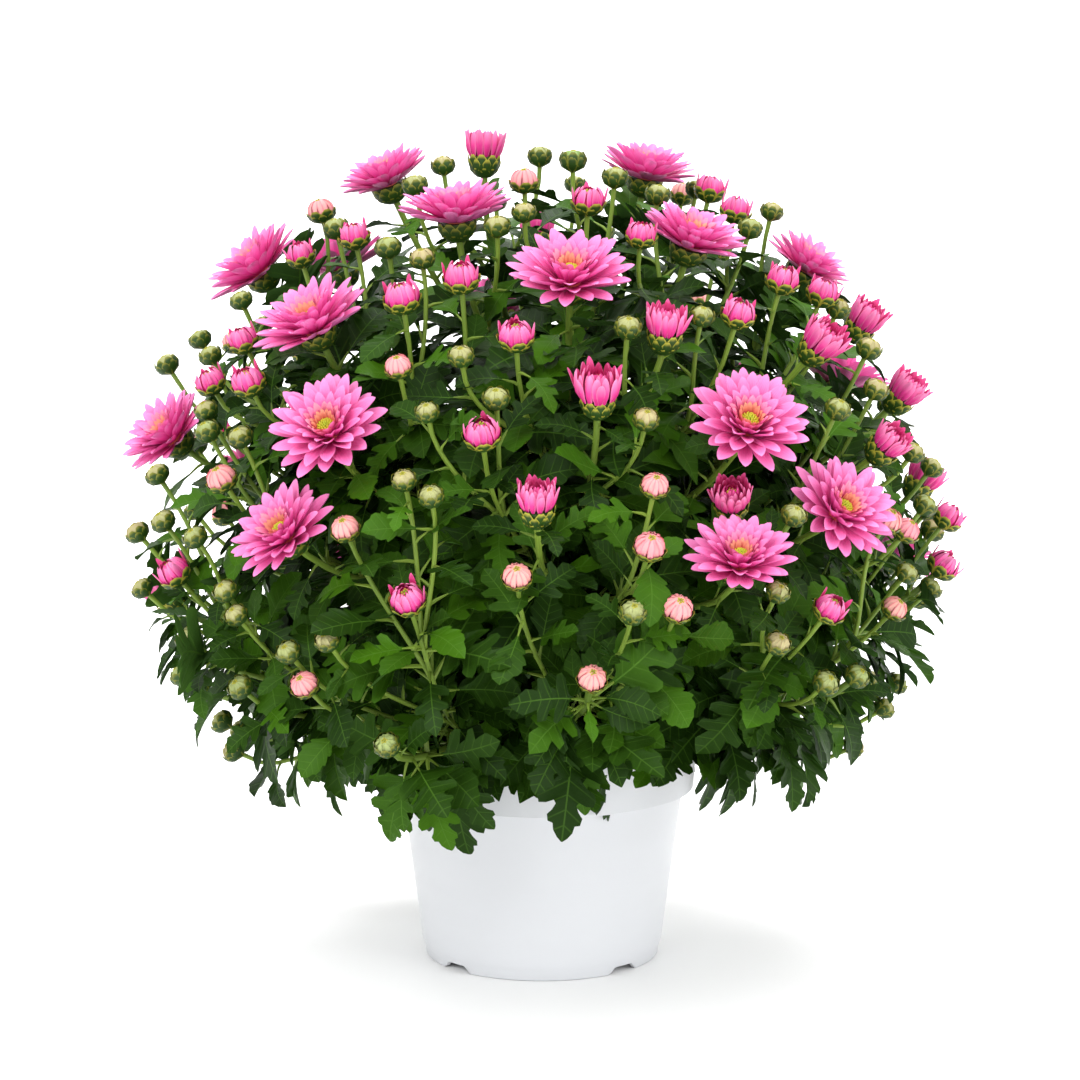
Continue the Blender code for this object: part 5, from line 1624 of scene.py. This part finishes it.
def pot_profile():
    """Section of the pot's wall, from the middle of its floor over the rim to its underside."""
    floor_top = FOOT_HEIGHT + WALL
    step_top = COLLAR_FOOT_HEIGHT + WALL
    lip_foot = POT_HEIGHT - LIP_DEPTH
    edge = EDGE_ROUNDING
    inner = BODY_FOOT_RADIUS - WALL
    ring = FOOT_RADIUS - FOOT_WIDTH
    return [
        (DRAIN_RADIUS, floor_top),
        (inner - 4.0 * edge, floor_top),
        (inner, floor_top + 4.0 * edge),
        (BODY_TOP_RADIUS - WALL, step_top - edge),
        (BODY_TOP_RADIUS - WALL + edge, step_top),
        (COLLAR_FOOT_RADIUS - WALL - edge, step_top),
        (COLLAR_FOOT_RADIUS - WALL, step_top + edge),
        *arc((COLLAR_TOP_RADIUS - WALL + edge, POT_HEIGHT - edge), edge, 180.0, 90.0, EDGE_STEPS),
        *arc((LIP_RADIUS - 2.0 * edge, POT_HEIGHT - 2.0 * edge), 2.0 * edge, 90.0, 0.0, LIP_STEPS),
        *arc((LIP_RADIUS - LIP_DRAFT - edge, lip_foot + edge), edge, 0.0, -90.0, EDGE_STEPS),
        (COLLAR_TOP_RADIUS + edge, lip_foot),
        (COLLAR_TOP_RADIUS, lip_foot - edge),
        *arc((COLLAR_FOOT_RADIUS - edge, COLLAR_FOOT_HEIGHT + edge), edge, 0.0, -90.0, EDGE_STEPS),
        (BODY_TOP_RADIUS + edge, COLLAR_FOOT_HEIGHT),
        (BODY_TOP_RADIUS, COLLAR_FOOT_HEIGHT - edge),
        *((radius, FOOT_HEIGHT + share * FOOT_ROUNDING) for radius, share in FOOT_CURVE),
        (FOOT_RADIUS, FOOT_HEIGHT),
        (FOOT_RADIUS, 0.5 * edge),
        (FOOT_RADIUS - 0.5 * edge, 0.0),
        (ring + 0.5 * edge, 0.0),
        (ring, 0.5 * edge),
        (ring, FOOT_HEIGHT),
        (DRAIN_RADIUS, FOOT_HEIGHT),
    ]


def notch_rise(turns):
    """How far the foot ring's underside is lifted at each turn about Z, as a share of its height."""
    step = 2.0 * math.pi / NOTCH_COUNT
    away = np.abs((turns - NOTCH_TURN + 0.5 * step) % step - 0.5 * step) * FOOT_RADIUS
    return np.clip((0.5 * NOTCH_WIDTH - away) / (0.5 * (NOTCH_WIDTH - NOTCH_TOP_WIDTH)), 0.0, 1.0)


def make_pot(material):
    profile = pot_profile()
    rings = turned_points(profile, FINE_POT_STEPS)
    rise = notch_rise(ring_turns(FINE_POT_STEPS))
    for row, (_, height) in enumerate(profile):
        if height < FOOT_HEIGHT - EDGE_ROUNDING:
            rings[row, :, 2] += rise * (FOOT_HEIGHT - GAP - height)
    points, faces = closed_rings(rings)
    batch = Batch()
    batch.add(points, faces[:, ::-1], 0.0, 0.0, 0.0, 0)
    pot = make_piece("pot_fine", batch, [material], "white_plastic", "pot")
    cutters = drain_cutters()
    cut_drains(pot, cutters)
    for cutter in list(cutters.objects):
        bpy.data.objects.remove(cutter)
    bpy.data.collections.remove(cutters)


def drain_cutters():
    """Round bars through the pot's floor, in a collection of their own."""
    cutters = bpy.data.collections.new("drain_cutters")
    bpy.context.scene.collection.children.link(cutters)
    for turn in ring_turns(DRAIN_COUNT):
        place = (DRAIN_CIRCLE * math.sin(turn), DRAIN_CIRCLE * math.cos(turn), FOOT_HEIGHT)
        work = bmesh.new()
        bmesh.ops.create_cone(work, cap_ends=True, segments=DRAIN_STEPS, radius1=DRAIN_RADIUS,
                              radius2=DRAIN_RADIUS, depth=4.0 * WALL, matrix=Matrix.Translation(place))
        mesh = bpy.data.meshes.new("drain_cutter")
        work.to_mesh(mesh)
        work.free()
        cutters.objects.link(bpy.data.objects.new("drain_cutter", mesh))
    return cutters


def cut_drains(pot, cutters):
    """Cuts the bars out of the pot and clears faces without area from the cut."""
    boolean = pot.modifiers.new("Drains", "BOOLEAN")
    boolean.operation = "DIFFERENCE"
    boolean.operand_type = "COLLECTION"
    boolean.collection = cutters
    evaluated = pot.evaluated_get(bpy.context.evaluated_depsgraph_get())
    mesh = bpy.data.meshes.new_from_object(evaluated)
    pot.modifiers.remove(boolean)
    work = bmesh.new()
    work.from_mesh(mesh)
    bmesh.ops.dissolve_degenerate(work, dist=0.01 * GAP, edges=work.edges)
    work.to_mesh(mesh)
    work.free()
    pot.data = mesh


def soil_profile():
    slope = (COLLAR_TOP_RADIUS - COLLAR_FOOT_RADIUS) / (POT_HEIGHT - COLLAR_FOOT_HEIGHT)
    rim = COLLAR_FOOT_RADIUS + slope * (SOIL_TOP - COLLAR_FOOT_HEIGHT) - WALL - GAP
    step = COLLAR_FOOT_HEIGHT + WALL + GAP
    foot = FOOT_HEIGHT + WALL + GAP
    profile = [(rim * share, SOIL_TOP) for share in np.linspace(SOIL_MIDDLE, 1.0, SOIL_RINGS)]
    return profile + [
        (COLLAR_FOOT_RADIUS - WALL - GAP, step),
        (BODY_TOP_RADIUS - WALL - 2.0 * GAP, step),
        (BODY_FOOT_RADIUS - WALL - 2.0 * GAP, foot),
        (SOIL_MIDDLE * rim, foot),
    ]


def chance(draw, shape):
    """Normal draws, cut off where they get large."""
    return draw.normal(size=shape).clip(-MOST_CHANCE, MOST_CHANCE)


def ball():
    """Points and triangles of a rough ball."""
    work = bmesh.new()
    bmesh.ops.create_icosphere(work, subdivisions=1, radius=1.0)
    points = np.array([point.co for point in work.verts])
    faces = np.array([[point.index for point in face.verts] for face in work.faces])
    work.free()
    return points, faces


def make_soil(sprays, material):
    """Soil that fills the pot, its top a little rough and strewn with crumbs and bark."""
    draw = np.random.default_rng(SOIL_SEED)
    profile = soil_profile()
    rings = turned_points(profile, SOIL_STEPS)
    top = rings[1:SOIL_RINGS - 1]
    top[:, :, 2] += SOIL_ROUGHNESS * chance(draw, top.shape[:2])
    points, faces = closed_rings(rings)
    batch = Batch()
    batch.add(points, faces[:, ::-1], 0.0, 0.0, 0.0, 0)
    crumb, crumb_faces = ball()
    feet = np.array([stem_foot(spray.stem.direction) for spray in sprays])
    for _ in range(CRUMBS):
        away = profile[SOIL_RINGS - 1][0] * math.sqrt(draw.uniform(0.0, CRUMB_REACH))
        turn = draw.uniform(0.0, FULL_TURN)
        place = np.array((away * math.cos(turn), away * math.sin(turn), SOIL_TOP + GAP))
        size = CRUMB_SIZE * draw.lognormal(0.0, CRUMB_SPREAD)
        if np.linalg.norm(feet - place, axis=1).min() > STEM_RADIUS + size:
            shape = size * np.array([draw.uniform(*sizes) for sizes in CRUMB_SHAPES])
            points = crumb * shape * (1.0 + CRUMB_ROUGHNESS * chance(draw, (len(crumb), 1)))
            axis = unit(UP + CRUMB_TILT * draw.normal(size=3))
            tone = draw.uniform(0.0, 1.0) ** 2
            points = placed(points, place, axis, draw.uniform(*ANY_TURN))
            batch.add(points, crumb_faces, 0.0, 0.0, tone, 0)
    make_piece("soil_fine", batch, [material], "potting_soil", "soil")


# Stage

def make_floor():
    """Pale floor that curves up behind the plant to a wall, so that no edge of it shows."""
    bend = [(FLOOR_BACK + FLOOR_BEND * math.sin(angle), FLOOR_BEND * (1.0 - math.cos(angle)))
            for angle in np.radians(np.linspace(0.0, 90.0, BEND_STEPS))]
    section = [(-FLOOR_FRONT, 0.0)] + bend + [(FLOOR_BACK + FLOOR_BEND, WALL_HEIGHT)]
    points = [(side * FLOOR_HALF_WIDTH, y, z - GAP) for y, z in section for side in (-1.0, 1.0)]
    index = np.arange(len(points)).reshape(-1, 2)
    mesh = bpy.data.meshes.new("floor")
    mesh.from_pydata(points, [], grid_faces(index).tolist())
    mesh.materials.append(floor_material())
    mesh.shade_smooth()
    floor = bpy.data.objects.new("floor", mesh)
    bpy.context.scene.collection.objects.link(floor)


def make_camera():
    eye, right, up, forward = eye_frame()
    data = bpy.data.cameras.new("camera")
    data.sensor_width = SENSOR_WIDTH
    data.lens = SENSOR_WIDTH * FOCAL_PIXELS / (2.0 * FRAME_MIDDLE)
    camera = bpy.data.objects.new("camera", data)
    camera.matrix_world = Matrix((
        (right[0], up[0], -forward[0], eye[0]),
        (right[1], up[1], -forward[1], eye[1]),
        (right[2], up[2], -forward[2], eye[2]),
        (0.0, 0.0, 0.0, 1.0)))
    bpy.context.scene.collection.objects.link(camera)
    bpy.context.scene.camera = camera


def make_lights():
    """White surroundings, and soft lights before, beside, above and on the wall behind the plant."""
    world = bpy.data.worlds.new("studio")
    world.use_nodes = True
    background = world.node_tree.nodes["Background"]
    background.inputs["Color"].default_value = (1.0, 1.0, 1.0, 1.0)
    background.inputs["Strength"].default_value = WORLD_STRENGTH
    bpy.context.scene.world = world
    for name, place, aim, size, power in LIGHTS:
        data = bpy.data.lights.new(name, "AREA")
        data.shape = "DISK"
        data.size = size
        data.energy = power
        light = bpy.data.objects.new(name, data)
        light.location = place
        light.rotation_euler = (Vector(aim) - Vector(place)).to_track_quat("-Z", "Y").to_euler()
        bpy.context.scene.collection.objects.link(light)
    bpy.context.scene.view_settings.view_transform = "Standard"


def main():
    make_camera()
    make_lights()
    make_floor()
    sprays = plan_plant()
    branches = [branch for spray in sprays for branch in spray.branches]
    places, ways = fork_places(branches)
    stems = [spray.stem for spray in sprays]
    extra = [(nearest_stem(head.base, stems), forked_stalk(head, places, ways))
             for head in extra_heads([branch.head for branch in branches])]
    crown = [petal_material("crown_inside", *CROWN_INSIDE), petal_material("crown_outside", *CROWN_OUTSIDE)]
    make_sprays(sprays, extra, [
        leaf_material("leaf_front", *LEAF_FRONT, 0.5),
        leaf_material("leaf_back", *LEAF_UNDER, 0.65),
        stem_material(),
        scale_material(),
        bud_material(),
        *crown,
        disc_material("bud_pit", *BUD_PIT),
    ])
    make_flowers(sprays, [
        petal_material("petal_front", *PETAL_FRONT),
        petal_material("petal_back", *PETAL_UNDER),
        *crown,
        disc_material("disc_florets", *DISC_COLOURS),
    ])
    make_pot(pot_material())
    make_soil(sprays, soil_material())


main()
